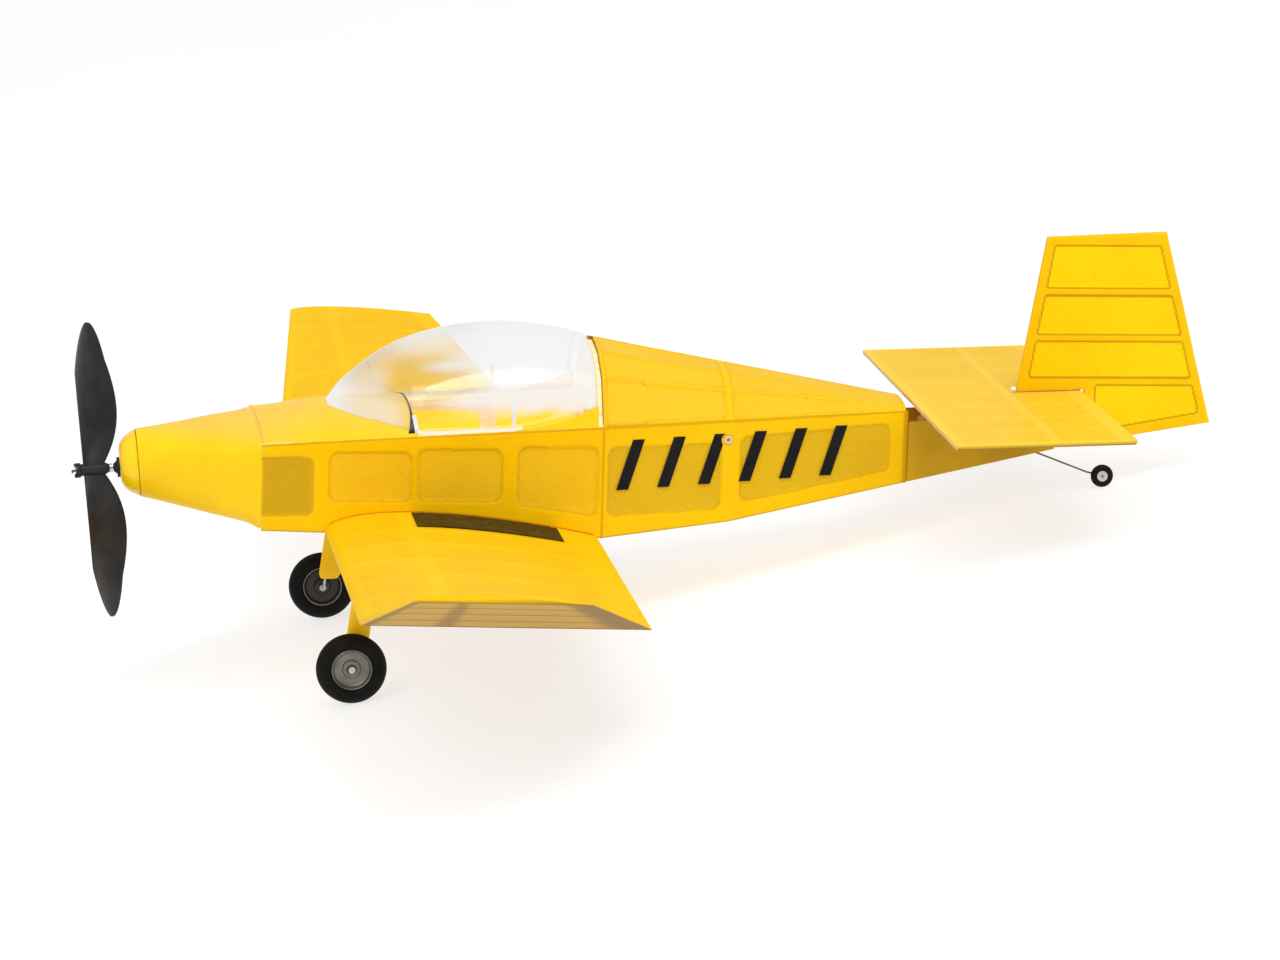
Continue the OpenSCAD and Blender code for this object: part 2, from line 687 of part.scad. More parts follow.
module sternpost() {
    color(balsa) stance() difference() {
        intersection() {
            translate([0, 0, -60]) linear_extrude(200) polygon([for (c = [[460, 1], [sternpost_x, 1],
                [sternpost_x, -1], [460, -1]]) [c[0], c[1] * (half_width(c[0]) - side_t - gap)]]);
            across(70) polygon([for (x = [460, sternpost_x]) [x, bottom_z(x) + 1.4],
                [sternpost_x, 32.8], [460, 32]]);
        }
        translate([post_x, 0, 0]) cylinder(h = 60, r = post_r + 0.01);
    }
}

// Cross piece between the tail bay's sides and the two blocks that carry the stabiliser
saddle_x = 404;
rear_block_x = 452;
function under_stab(x) = stab_z + (x - stab_x) * tan(stab_angle) - stab_t / 2 - 0.5;
module stab_saddle() {
    half = half_width(saddle_x + 16) - side_t - gap;
    color(balsa) stance() {
        translate([saddle_x, -half, 22]) cube([16, 2 * half, 3]);
        translate([saddle_x, -4, 24.9]) cube([16, 8, under_stab(saddle_x) - 24.9]);
        foot = bottom_z(rear_block_x + 6) + 1.4;
        translate([rear_block_x, 0, foot]) linear_extrude(under_stab(rear_block_x) - foot)
            polygon([for (c = [[0, 1], [6, 1], [6, -1], [0, -1]])
                [c[0], c[1] * (half_width(rear_block_x + c[0]) - side_t - gap)]]);
    }
}

module stab_plate(z0, t) {
    translate([stab_x, 0, stab_z]) rotate([0, -stab_angle, 0])
        translate([0, 0, z0]) linear_extrude(t) children();
}

module stab_outline() {
    translate([0, -stab_span / 2]) square([stab_chord, stab_span]);
}

stab_spar_x = 50;
module stab_frame() {
    color(balsa) stance() difference() {
        stab_plate(-stab_t / 2, stab_t) difference() {
            stab_outline();
            for (i = [-4:3]) let (bay = stab_span / 8, y0 = i * bay + 2, y1 = (i + 1) * bay - 2) {
                translate([5, i == -4 ? y0 + 2 : y0])
                    square([stab_spar_x - 7, y1 - y0 - (i == -4 || i == 3 ? 2 : 0)]);
                translate([stab_spar_x + 3, i == -4 ? y0 + 2 : y0])
                    square([stab_chord - stab_spar_x - 11, y1 - y0 - (i == -4 || i == 3 ? 2 : 0)]);
            }
        }
        translate([post_x, 0, 0]) cylinder(h = 90, r = post_r + 0.01);
    }
}

module stab_covering() {
    color(yellow) stance() difference() {
        for (z = [-stab_t / 2 - 0.32, stab_t / 2 + 0.02]) stab_plate(z, 0.3) stab_outline();
        translate([post_x, 0, 0]) cylinder(h = 90, r = post_r + 0.2);
    }
}

module rudder_sheet(half0, half1) {
    rotate([90, 0, 0]) translate([0, 0, half0]) linear_extrude(half1 - half0) children();
}

module rudder_outline() {
    polygon(rudder_points);
}

// Left and right edges of the rudder at height z
function rudder_front(z) = lerp(452, 464.7, (z - rudder_foot_z) / (118.4 - rudder_foot_z));
function rudder_back(z) = lerp(552, 525.6, (z - 24.2) / (121.4 - 24.2));
module rudder_frame() {
    edge = 4.5;
    bays = [[114.5, 93], [89, 69], [65.5, 47]];
    color(balsa) stance() difference() {
        rudder_sheet(-rudder_t / 2, rudder_t / 2) difference() {
            rudder_outline();
            for (b = bays) polygon([[rudder_front(b[1]) + edge, b[1]], [rudder_front(b[0]) + edge, b[0]],
                [rudder_back(b[0]) - edge, b[0]], [rudder_back(b[1]) - edge, b[1]]]);
            polygon([[492.5, 19.5], [492.5, 43], [rudder_back(43) - edge, 43], [rudder_back(31) - edge, 31],
                [rudder_back(31) - edge, 29]]);
        }
        translate([post_x, 0, 0]) cylinder(h = 92, r = post_r + running_fit);
    }
}

module rudder_covering() {
    half = rudder_t / 2;
    color(yellow) stance() {
        rudder_sheet(half + 0.02, half + 0.32) rudder_outline();
        rudder_sheet(-half - 0.32, -half - 0.02) rudder_outline();
    }
}

module rudder_post() {
    color(steel) stance() translate([post_x, 0, 13.5]) cylinder(h = 78, r = post_r);
}

// ---- Wing ----
function wing_section(t, y, u0, u1, inset, n = airfoil_steps) = [for (p = airfoil_loop(t, u0, u1, inset, n))
    [p[0], y, p[1]]];
rib_t = 1.2;
spar_x0 = 0.27;
spar_x1 = 0.315;
nose_u = 0.045;
tail_u = 0.85;

// Balsa strip that runs the whole span inside the covering, between two shares of the chord
module wing_strip(u0, u1, n) {
    half = break_y - 0.4;
    loft([for (y = [-half, half]) wing_section(0, y, u0, u1, 1, n)]);
    mirrored() loft([for (y = [break_y + 0.4, wing_span / 2 - 3])
        wing_section((y - break_y) / outer_span, y, u0, u1, 1, n)]);
}

module wing_covering_center() {
    color(yellow) stance() let (half = break_y - 0.1)
        tube_skin([for (y = [-half, half]) wing_section(0, y, 0, 1, 0)],
            [for (y = [-half, half]) wing_section(0, y, 0.014, 0.92, 0.42)]);
}

module outer_covering() {
    ys = [break_y + 0.1, wing_span / 2];
    tube_skin([for (y = ys) wing_section((y - break_y) / outer_span, y, 0, 1, 0)],
        [for (y = ys) wing_section((y - break_y) / outer_span, y, 0.014, 0.92, 0.42)]);
}

module wing_covering_right() {
    color(yellow) stance() outer_covering();
}

module wing_covering_left() {
    color(yellow) stance() mirror([0, 1, 0]) outer_covering();
}

module leading_edge() {
    color(balsa) stance() wing_strip(0.02, nose_u, 3);
}

module trailing_edge() {
    color(balsa) stance() wing_strip(tail_u, 0.89, 1);
}

module wing_spar() {
    color(balsa) stance() wing_strip(spar_x0, spar_x1, 1);
}

rib_ys = [62, 95, 125, 160, 195, 230, break_y + 2, 290, 322, 350];
function span_share(y) = max((y - break_y) / outer_span, 0);
// Plate across the wing from y outwards, between two shares of the chord
module rib(y, u0, u1, inset) {
    loft([for (q = [y, y + rib_t]) wing_section(span_share(q), q, u0, u1, inset, 8)]);
}

module wing_ribs() {
    clear = 0.003;
    color(balsa) stance() mirrored() for (y = rib_ys) {
        rib(y, nose_u + clear, spar_x0 - clear, 1);
        rib(y, spar_x1 + clear, tail_u - clear, 1);
    }
}

module wing_tips() {
    color(balsa) stance() mirrored() rib(wing_span / 2 - 2, 0.06, 0.84, 1);
}

module walkways() {
    x0 = 140.6;
    x1 = 212.6;
    rows = [for (i = [0:5]) lerp(x0, x1, i / 5)];
    function strip(x, lift) = [for (y = [86, 55]) [x, y, wing_top_z(x) + lift]];
    color([0.28, 0.23, 0.06]) stance() mirrored()
        sheet_skin([for (x = rows) strip(x, 0.5)], [for (x = rows) strip(x, 0.1)]);
}

// ---- Undercarriage ----
leg_y = 83.5;
plate_z = -22.9;
leg_top = [116.4, leg_y, plate_z - 1.2];
wire_r = 0.7;
leg_foot = [109, leg_y, main_axle[2]];
fairing_foot_z = -75;
function leg_at(z) = lerp(leg_top, leg_foot, (z - leg_top[2]) / (leg_foot[2] - leg_top[2]));

module leg_cylinder(z0, z1, r) {
    p = leg_at(z0);
    q = leg_at(z1);
    translate(p) rotate([0, atan2(q[0] - p[0], q[2] - p[2]), 0]) cylinder(h = norm(q - p), r = r);
}

// Plates glued under the wing, where each leg's wire is let in
module gear_plates() {
    color(balsa) stance() mirrored() translate([106, leg_y - 7, plate_z - 1]) cube([24, 14, 1]);
}

module gear_fairings() {
    chord = 11.2;
    thick = 4.8;
    color(yellow) stance() mirrored() difference() {
        loft([for (z = [fairing_foot_z, plate_z - 1.1]) let (c = leg_at(z))
            [for (k = [0:15]) let (a = 22.5 * k, u = cos(a))
                [c[0] + 2 + u * chord / 2, leg_y + sin(a) * thick / 2 * (1 - 0.25 * u), z]]]);
        leg_cylinder(plate_z + 3, fairing_foot_z - 10, wire_r + 0.02);
    }
}

module gear_wires() {
    axle_end = main_axle[1] + 4.6;
    color(steel) stance() mirrored() {
        leg_cylinder(leg_top[2], main_axle[2], wire_r);
        translate(leg_foot) sphere(r = wire_r, $fn = 24);
        translate([main_axle[0], 0, main_axle[2]]) rod_y(leg_y, axle_end, wire_r);
    }
}

module wheel_collars() {
    color(steel) stance() mirrored() translate([main_axle[0], 0, main_axle[2]])
        for (y = [main_axle[1] - 6.4, main_axle[1] + 3.3]) difference() {
            rod_y(y, y + 1.2, 1.7);
            rod_y(y - 1, y + 2, wire_r + 0.01);
        }
}

tyre_w = 9.6;
hub_r = 10;
module tyre() {
    r = main_d / 2;
    w = tyre_w / 2;
    rotate([90, 0, 0]) rotate_extrude($fn = 96) difference() {
        union() {
            translate([r - w, 0]) circle(r = w);
            translate([hub_r, -w * 0.8]) square([r - w - hub_r + 1, w * 1.6]);
        }
        translate([hub_r - 4, -w]) square([4, 2 * w]);
    }
}

// Dished disc wheel with a rim, a groove and a centre boss
module hub() {
    rotate([90, 0, 0]) rotate_extrude($fn = 96)
        polygon([[wire_r + running_fit, -3.2], [4, -3.2], [4.6, -2.2], [8.6, -1.8], [9, -3.6],
            [hub_r - 0.02, -3.7], [hub_r - 0.02, 3.7], [9.1, 3.7], [8.6, 1.9], [5, 1.5], [4, 2.4],
            [2.4, 2.4], [1.9, 1.8],
            [wire_r + running_fit, 1.8]]);
}

module tyre_left() {
    color(black) stance() translate([main_axle[0], -main_axle[1], main_axle[2]]) tyre();
}

module tyre_right() {
    color(black) stance() translate(main_axle) tyre();
}

module hub_left() {
    color(hub_grey) stance() translate([main_axle[0], -main_axle[1], main_axle[2]]) hub();
}

module hub_right() {
    color(hub_grey) stance() translate(main_axle) mirror([0, 1, 0]) hub();
}

tail_wire_r = 0.45;
tail_hub_r = 2.7;
tail_wire_y = 3.4;
module tail_wire() {
    root = [462, tail_wire_y, 8.2];
    knee = [491, tail_wire_y, -2.8];
    foot = [tail_axle[0], tail_wire_y, tail_axle[2]];
    module limb(p, q) {
        translate(p) rotate([0, atan2(q[0] - p[0], q[2] - p[2]), 0])
            cylinder(h = norm(q - p), r = tail_wire_r);
    }
    color(steel) stance() {
        limb(root, knee);
        limb(knee, foot);
        for (p = [root, knee, foot]) translate(p) sphere(r = tail_wire_r, $fn = 24);
        translate([tail_axle[0], 0, tail_axle[2]]) rod_y(-2.4, tail_wire_y, tail_wire_r);
    }
}

module tail_tyre() {
    r = tail_d / 2;
    w = 1.6;
    color(black) stance() translate(tail_axle) rotate([90, 0, 0]) rotate_extrude($fn = 64) difference() {
        union() {
            translate([r - w, 0]) circle(r = w);
            translate([tail_hub_r, -w * 0.8]) square([r - w - tail_hub_r + 0.3, w * 1.6]);
        }
        translate([0, -w]) square([tail_hub_r, 2 * w]);
    }
}

module tail_hub() {
    color("lightgray") stance() translate(tail_axle) difference() {
        rod_y(-1.5, 1.5, tail_hub_r - 0.01);
        rod_y(-3, 3, tail_wire_r + running_fit);
    }
}

propeller();
prop_shaft();
thrust_washers();
motor_front_loop();
nose_bearing();
nose_block();
nose_former();
cowl();
firewall();
front_deck();
instrument_panel();
rear_bulkhead();
fuselage_formers();
longerons();
side_left();
side_right();
cabin_floor();
belly_sheets();
covering_left();
covering_right();
sill_fairings();
turtledeck_formers();
turtledeck_stringers();
turtledeck_covering();
canopy();
canopy_frame();
rubber_motor();
motor_peg();
peg_plates();
tail_bay_sides();
sternpost();
stab_saddle();
marking_left();
marking_right();
wing_spar();
leading_edge();
trailing_edge();
wing_ribs();
wing_tips();
wing_covering_center();
wing_covering_left();
wing_covering_right();
walkways();
stab_frame();
stab_covering();
rudder_frame();
rudder_covering();
rudder_post();
gear_plates();
gear_fairings();
gear_wires();
wheel_collars();
tyre_left();
hub_left();
tyre_right();
hub_right();
tail_wire();
tail_tyre();
tail_hub();
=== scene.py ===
import json
import math
import random

import bmesh
import bpy
import numpy as np
from mathutils import Matrix, Vector
from mathutils.bvhtree import BVHTree

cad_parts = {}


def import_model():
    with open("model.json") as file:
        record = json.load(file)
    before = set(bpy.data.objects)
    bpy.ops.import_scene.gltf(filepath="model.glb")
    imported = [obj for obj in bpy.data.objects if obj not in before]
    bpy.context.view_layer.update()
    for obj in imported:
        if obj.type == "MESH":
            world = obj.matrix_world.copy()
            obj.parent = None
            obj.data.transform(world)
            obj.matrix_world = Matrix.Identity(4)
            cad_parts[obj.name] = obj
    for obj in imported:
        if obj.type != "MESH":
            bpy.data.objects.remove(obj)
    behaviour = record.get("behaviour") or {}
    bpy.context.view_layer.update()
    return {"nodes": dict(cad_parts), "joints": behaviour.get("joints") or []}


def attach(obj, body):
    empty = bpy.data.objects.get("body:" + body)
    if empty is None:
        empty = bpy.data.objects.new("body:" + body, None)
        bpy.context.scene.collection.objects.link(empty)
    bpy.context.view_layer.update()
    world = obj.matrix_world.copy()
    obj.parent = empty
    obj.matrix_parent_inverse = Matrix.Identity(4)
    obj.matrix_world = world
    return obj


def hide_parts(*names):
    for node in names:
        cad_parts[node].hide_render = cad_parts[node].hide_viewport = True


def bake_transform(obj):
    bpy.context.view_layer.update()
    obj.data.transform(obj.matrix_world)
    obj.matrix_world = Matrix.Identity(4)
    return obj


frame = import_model()
random.seed(7)
rng = np.random.default_rng(7)
MM = 0.001
NODES = frame["nodes"]

# ---- The airframe's own axes: X aft, Y starboard, Z up, in millimetres. The nose and the propeller's axis
# lean forward about the airframe's origin. ----
DOWN_THRUST = math.radians(5)
LEAN_COS, LEAN_SIN = math.cos(DOWN_THRUST), math.sin(DOWN_THRUST)
SPIN = next(j for j in frame["joints"] if j["name"] == "prop_spin")
THRUST = Vector(SPIN["axis"]).normalized()
THRUST_UP = Vector((-THRUST.z, 0, THRUST.x))
AFT = THRUST * LEAN_COS - THRUST_UP * LEAN_SIN
UP = Vector((-AFT.z, 0, AFT.x))
SIDE = Vector((0, 1, 0))
SPIN_X = -13
ORIGIN = Vector(SPIN["pos_m"]) - THRUST * SPIN_X * MM
AXES = np.array([AFT, SIDE, UP], float)


def world(points):
    """Airframe points in millimetres, as row-frame points in metres."""
    return np.asarray(points, float).reshape(-1, 3) @ AXES * MM + np.array(ORIGIN)


def local(points):
    """Row-frame points in metres, as airframe points in millimetres."""
    return (np.asarray(points, float).reshape(-1, 3) - np.array(ORIGIN)) @ AXES.T / MM


def lean(points, way=1):
    """Leans airframe points forward with the thrust line, or back again with way = -1."""
    p = np.array(points, float).reshape(-1, 3)
    s = LEAN_SIN * way
    x = p[:, 0] * LEAN_COS - p[:, 2] * s
    z = p[:, 0] * s + p[:, 2] * LEAN_COS
    return np.column_stack([x, p[:, 1], z])


def added(name, data):
    made = bpy.data.objects.new(name, data)
    bpy.context.scene.collection.objects.link(made)
    return made


# ---- Camera: its angles in degrees, and its distances in millimetres from a point on the airframe ----
CAMERA_AZIMUTH, CAMERA_ELEVATION, CAMERA_ROLL = 7.9, 11.3, 1.6
CAMERA_AIM, CAMERA_DISTANCE, LENS = (260.9, 0, -6.4), 2785.9, 155.72


def make_camera():
    azimuth, elevation, roll = (math.radians(a) for a in (CAMERA_AZIMUTH, CAMERA_ELEVATION, CAMERA_ROLL))
    back = Vector((-math.sin(azimuth) * math.cos(elevation), -math.cos(azimuth) * math.cos(elevation),
                   math.sin(elevation)))
    level = Vector((math.cos(azimuth), -math.sin(azimuth), 0))
    over = back.cross(level)
    right = level * math.cos(roll) + over * math.sin(roll)
    top = over * math.cos(roll) - level * math.sin(roll)
    turn = Matrix((AFT, SIDE, UP)).transposed()
    matrix = (turn @ Matrix((right, top, back)).transposed()).to_4x4()
    matrix.translation = Vector(world(Vector(CAMERA_AIM) + back * CAMERA_DISTANCE)[0])
    data = bpy.data.cameras.new("camera")
    data.lens = LENS
    data.clip_end = 50
    camera = added("camera", data)
    camera.matrix_world = matrix
    bpy.context.scene.camera = camera


make_camera()


# ---- Reading the CAD's shapes ----
def vertices(node):
    mesh = NODES[node].data
    co = np.zeros(len(mesh.vertices) * 3)
    mesh.vertices.foreach_get("co", co)
    return local(co)


def tree(name):
    faces = [list(p.vertices) for p in NODES[name].data.polygons]
    return BVHTree.FromPolygons([tuple(p) for p in vertices(name)], faces)


def shot(bvh, start, direction, reach=900):
    """Where a ray first meets the CAD, or None."""
    return bvh.ray_cast(Vector(start), Vector(direction).normalized(), reach)[0]


# ---- Materials ----
def principled(name):
    material = bpy.data.materials.new(name)
    material.use_nodes = True
    tree_ = material.node_tree
    return material, tree_, tree_.nodes["Principled BSDF"]


def node(tree_, kind, **values):
    made = tree_.nodes.new(kind)
    for key, value in values.items():
        if key in made.inputs:
            made.inputs[key].default_value = value
        else:
            setattr(made, key, value)
    return made


def noise(tree_, scale, detail, stretch=(1, 1, 1), turn=(0, 0, 0)):
    coords = node(tree_, "ShaderNodeTexCoord")
    mapping = node(tree_, "ShaderNodeMapping")
    mapping.inputs["Scale"].default_value = stretch
    mapping.inputs["Rotation"].default_value = turn
    made = node(tree_, "ShaderNodeTexNoise", Scale=scale, Detail=detail)
    tree_.links.new(coords.outputs["Object"], mapping.inputs["Vector"])
    tree_.links.new(mapping.outputs["Vector"], made.inputs["Vector"])
    return made.outputs["Fac"]


def ramp(tree_, value, stops):
    made = node(tree_, "ShaderNodeValToRGB")
    elements = made.color_ramp.elements
    while len(elements) < len(stops):
        elements.new(0.5)
    for element, (place, color) in zip(elements, stops):
        element.position = place
        element.color = (*color, 1)
    tree_.links.new(value, made.inputs["Fac"])
    return made.outputs["Color"]


def feed(tree_, sockets, values):
    """Gives each socket a link, a number or a colour."""
    for socket, value in zip(sockets, values):
        if isinstance(value, bpy.types.NodeSocket):
            tree_.links.new(value, socket)
        else:
            socket.default_value = (*value, 1) if isinstance(value, tuple) else value


def color_mix(tree_, factor, a, b, blend="MIX"):
    made = node(tree_, "ShaderNodeMix", data_type="RGBA", blend_type=blend)
    feed(tree_, [s for s in made.inputs if s.enabled], (factor, a, b))
    return next(s for s in made.outputs if s.enabled)


def math_node(tree_, operation, a, b=0.0, clamp=False):
    made = node(tree_, "ShaderNodeMath", operation=operation, use_clamp=clamp)
    feed(tree_, made.inputs, (a, b))
    return made.outputs[0]


def scaled(tree_, value, factor, offset):
    out = math_node(tree_, "MULTIPLY_ADD", value, factor)
    out.node.inputs[2].default_value = offset
    return out


def toned(tree_, color, field, low, high, tint):
    """Multiplies a colour by a tint where a field is low."""
    return color_mix(tree_, 1.0, color, ramp(tree_, field, [(low, tint), (high, (1, 1, 1))]), "MULTIPLY")


def put(shader, values):
    for key, value in values.items():
        shader.inputs[key].default_value = value


def attribute(tree_, name):
    return node(tree_, "ShaderNodeAttribute", attribute_name=name).outputs["Fac"]


def bump(tree_, shader, height, strength, distance=0.0004):
    made = node(tree_, "ShaderNodeBump", Strength=strength, Distance=distance)
    tree_.links.new(height, made.inputs["Height"])
    tree_.links.new(made.outputs["Normal"], shader.inputs["Normal"])


# How much the painted shade darkens an open bay's colour.
SHADED_BAY = 0.62


def tissue(name, over_wood, open_bay, line, under=None, under_wood=None, lit_inside=False):
    """Doped tissue with fine fibres. The wood mask is 1 where the balsa frame lies under it, line runs
    along the frame's edges, the bay shade mask darkens a bay with painted shade and below marks the
    wing's or tail's underside."""
    material, t, shader = principled(name)
    fibres = noise(t, 2600, 3, (0.1, 0.6, 1), (0.3, 0.5, 0.7))
    flecks = noise(t, 1500, 5)
    cloud = noise(t, 28, 3)
    color = color_mix(t, attribute(t, "wood"), open_bay, over_wood)
    # Painted shade on the underside, with the frame as a painted shadow against the light through the
    # tissue.
    if under:
        below = color_mix(t, attribute(t, "wood"), under, under_wood)
        color = color_mix(t, attribute(t, "below"), color, below)
    # Painted shade: open bays are darkened where the bay shade mask is set.
    color = color_mix(t, attribute(t, "painted_bay_shade"), color, tuple(c * SHADED_BAY for c in open_bay))
    color = color_mix(t, attribute(t, "line"), color, line)
    color = toned(t, color, fibres, 0.32, 0.6, (0.93, 0.92, 0.86))
    color = toned(t, color, flecks, 0.34, 0.44, (0.88, 0.85, 0.7))
    color = toned(t, color, cloud, 0.3, 0.65, (0.95, 0.93, 0.84))
    t.links.new(color, shader.inputs["Base Color"])
    t.links.new(scaled(t, fibres, 0.16, 0.4), shader.inputs["Roughness"])
    put(shader, {"Specular IOR Level": 0.07, "Coat Weight": 0.01, "Coat Roughness": 0.25})
    bump(t, shader, fibres, 0.1)
    if lit_inside:
        glow = color_mix(t, 0.6, color, (0.95, 0.66, 0.02))
        t.links.new(glow, shader.inputs["Emission Color"])
        t.links.new(faces_inwards(t), shader.inputs["Emission Strength"])
    return material


INSIDE_GLOW = 0.8
CENTRE_MARGIN = 0.004


def faces_inwards(t):
    """The glow of faces that look towards the airframe's centre plane, where light comes through the
    tissue. The product of the normal and the place, in metres, is negative there."""
    place = node(t, "ShaderNodeNewGeometry")
    normal = node(t, "ShaderNodeSeparateXYZ")
    spot = node(t, "ShaderNodeSeparateXYZ")
    t.links.new(place.outputs["True Normal"], normal.inputs[0])
    t.links.new(place.outputs["Position"], spot.inputs[0])
    product = math_node(t, "MULTIPLY", normal.outputs["Y"], spot.outputs["Y"])
    inward = math_node(t, "LESS_THAN", product, -CENTRE_MARGIN)
    return math_node(t, "MULTIPLY", inward, INSIDE_GLOW)


def wood(name, light, dark, stretch=(0.06, 1, 1), scale=420, glow=0.0):
    """Balsa or ply, with long grain and short pores. glow is the light that comes through thin sheet."""
    material, t, shader = principled(name)
    grain = noise(t, scale, 5, stretch)
    pores = noise(t, scale * 3, 2, (0.2, 1, 1))
    color = ramp(t, grain, [(0.3, dark), (0.7, light)])
    color = toned(t, color, pores, 0.28, 0.42, (0.78, 0.74, 0.68))
    t.links.new(color, shader.inputs["Base Color"])
    t.links.new(color, shader.inputs["Emission Color"])
    put(shader, {"Emission Strength": glow, "Roughness": 0.62})
    bump(t, shader, grain, 0.25)
    return material


def painted(name, base, worn, rough, coat, scale=60, metallic=0.0, grain=0.1, specular=0.2, shade=None):
    """Paint, plastic, rubber or metal: clouded tone, fine scuffs and a matching roughness. shade names a
    mask of painted shade that darkens parts of the piece."""
    material, t, shader = principled(name)
    cloud = noise(t, scale, 5)
    scuff = noise(t, scale * 14, 3, (1, 0.3, 1))
    color = color_mix(t, ramp(t, cloud, [(0.35, (0, 0, 0)), (0.7, (1, 1, 1))]), base, worn)
    if shade:
        # Painted shade where the shade mask is set.
        color = color_mix(t, attribute(t, shade), color, (0.05, 0.045, 0.038))
    t.links.new(color, shader.inputs["Base Color"])
    t.links.new(scaled(t, scuff, 0.2, rough - 0.1), shader.inputs["Roughness"])
    put(shader, {"Metallic": metallic, "Specular IOR Level": specular, "Coat Weight": coat,
                 "Coat Roughness": 0.15})
    bump(t, shader, scuff, grain)
    return material


def clear_plastic(name):
    """Thin clear shell: see-through, with a grazing gloss, and white where its reflection mask says: a
    painted reflection, an emission that stands in for the studio and highlight mirrored in it.
    """
    material, t, _ = principled(name)
    t.nodes.clear()
    out = node(t, "ShaderNodeOutputMaterial")
    clear = node(t, "ShaderNodeBsdfTransparent", Color=(0.97, 0.975, 0.98, 1))
    gloss = node(t, "ShaderNodeBsdfGlossy", Color=(1, 1, 1, 1), Roughness=0.14)
    haze_and_painted_reflection = noise(t, 30, 3)
    dust = ramp(t, haze_and_painted_reflection, [(0.4, (0.0, 0.0, 0.0)), (0.75, (0.03, 0.03, 0.03))])
    facing = node(t, "ShaderNodeLayerWeight", Blend=0.5)
    graze = math_node(t, "POWER", facing.outputs["Facing"], 2.8)
    graze = scaled(t, graze, 0.7, 0.02)
    total = math_node(t, "ADD", graze, dust, True)
    blend = node(t, "ShaderNodeMixShader")
    feed(t, blend.inputs, (total, clear.outputs[0], gloss.outputs[0]))
    # Painted reflection: a white emission where the reflection mask is set.
    painted_white = node(t, "ShaderNodeEmission", Color=(0.94, 0.94, 0.93, 1), Strength=1.0)
    film = node(t, "ShaderNodeMixShader")
    feed(t, film.inputs, (attribute(t, "haze_and_painted_reflection"), blend.outputs[0], painted_white.outputs[0]))
    t.links.new(film.outputs[0], out.inputs["Surface"])
    return material


# Linear colours. A tissue's are over wood, over an open bay, along the frame's edges and on the underside.
# The underside's are painted shade, darker than the top, with the frame as a painted shadow against the
# light that comes through the tissue.
SHADED_UNDERSIDE, SHADED_UNDERSIDE_FRAME = (0.58, 0.33, 0.03), (0.28, 0.15, 0.02)
DULL = 0.12
# On the sides the duller open-bay tone is painted shade from the dark cabin behind the tissue.
M_SIDE = tissue("tissue_sides", (0.9, 0.53, 0.0), (0.82, 0.5, 0.01), (0.5, 0.25, 0.0), lit_inside=True)
M_DECK = tissue("tissue_turtledeck", (0.92, 0.57, 0.006), (0.86, 0.53, 0.02), (0.5, 0.27, 0.0))
M_WING = tissue("tissue_wing", (0.93, 0.575, 0.003), (0.9, 0.53, 0.004), (0.8, 0.46, 0.01),
                SHADED_UNDERSIDE, SHADED_UNDERSIDE_FRAME)
M_TAIL = tissue("tissue_tail", (0.94, 0.64, 0.05), (0.92, 0.58, 0.025), (0.7, 0.42, 0.02),
                SHADED_UNDERSIDE, SHADED_UNDERSIDE_FRAME)
M_FIN = tissue("tissue_rudder", (0.9, 0.53, 0.0), (0.97, 0.61, 0.0), (0.3, 0.16, 0.0))
M_COWL = painted("cowl_yellow", (0.94, 0.59, 0.0), (0.9, 0.53, 0.0), 0.42, 0.05, 45, 0, 0.05)
# Painted shade: the tail bay's sides are coloured darker for the shadow under the stabiliser.
M_BAY_SHADE = painted("tail_bay_painted_shade", (0.56, 0.33, 0.0), (0.46, 0.26, 0.0), 0.5, 0.0, 45, 0, 0.05)
M_NOSE = painted("nose_yellow", (0.96, 0.62, 0.0), (0.9, 0.55, 0.0), 0.26, 0.45, 45, 0, 0.04)
M_BALSA = wood("balsa", (0.8, 0.6, 0.36), (0.62, 0.43, 0.22))
# Painted light: the cabin's balsa is a lighter copy of the balsa that glows, for light coming in through
# the tissue.
M_CABIN_LIT = wood("cabin_balsa_painted_light", (0.92, 0.78, 0.5), (0.82, 0.64, 0.32), glow=0.3)
M_PLY = wood("ply", (0.66, 0.47, 0.27), (0.48, 0.31, 0.15), (1, 0.08, 1), 300)
M_BLACK = painted("black_plastic", (0.014, 0.014, 0.016), (0.024, 0.024, 0.026), 0.36, 0.05, 80, 0, 0.12,
                  DULL)
M_INK = painted("black_ink", (0.004, 0.004, 0.004), (0.009, 0.008, 0.007), 0.5, 0.0, 120, 0, 0.08, DULL)
M_STEEL = painted("wire_steel", (0.55, 0.55, 0.56), (0.4, 0.4, 0.41), 0.3, 0, 200, 1, 0.1)
M_ALUMINIUM = painted("peg_tube", (0.8, 0.7, 0.68), (0.7, 0.6, 0.58), 0.34, 0, 200, 1, 0.1)
M_TYRE = painted("tyre_rubber", (0.003, 0.003, 0.003), (0.008, 0.007, 0.006), 0.62, 0, 150, 0, 0.35, DULL)
M_HUB = painted("hub_metal", (0.17, 0.165, 0.145), (0.25, 0.245, 0.22), 0.38, 0.0, 130, 0.8, 0.12,
                shade="dark")
M_DARKWIRE = painted("dark_wire", (0.1, 0.09, 0.05), (0.16, 0.14, 0.09), 0.4, 0, 200, 1, 0.1)
M_TAILHUB = painted("tail_hub", (0.62, 0.6, 0.56), (0.5, 0.48, 0.44), 0.4, 0.1, 130, 0.2, 0.1)
M_WHITE = painted("white_trim", (0.86, 0.86, 0.84), (0.78, 0.78, 0.75), 0.4, 0.2, 60, 0, 0.06)
M_RUBBER = painted("tan_rubber", (0.5, 0.34, 0.14), (0.4, 0.26, 0.1), 0.5, 0, 200, 0, 0.2)
M_WALK = painted("walkway", (0.05, 0.03, 0.001), (0.1, 0.06, 0.002), 0.85, 0, 260, 0, 0.6, DULL)
M_CLEAR = clear_plastic("clear_canopy")

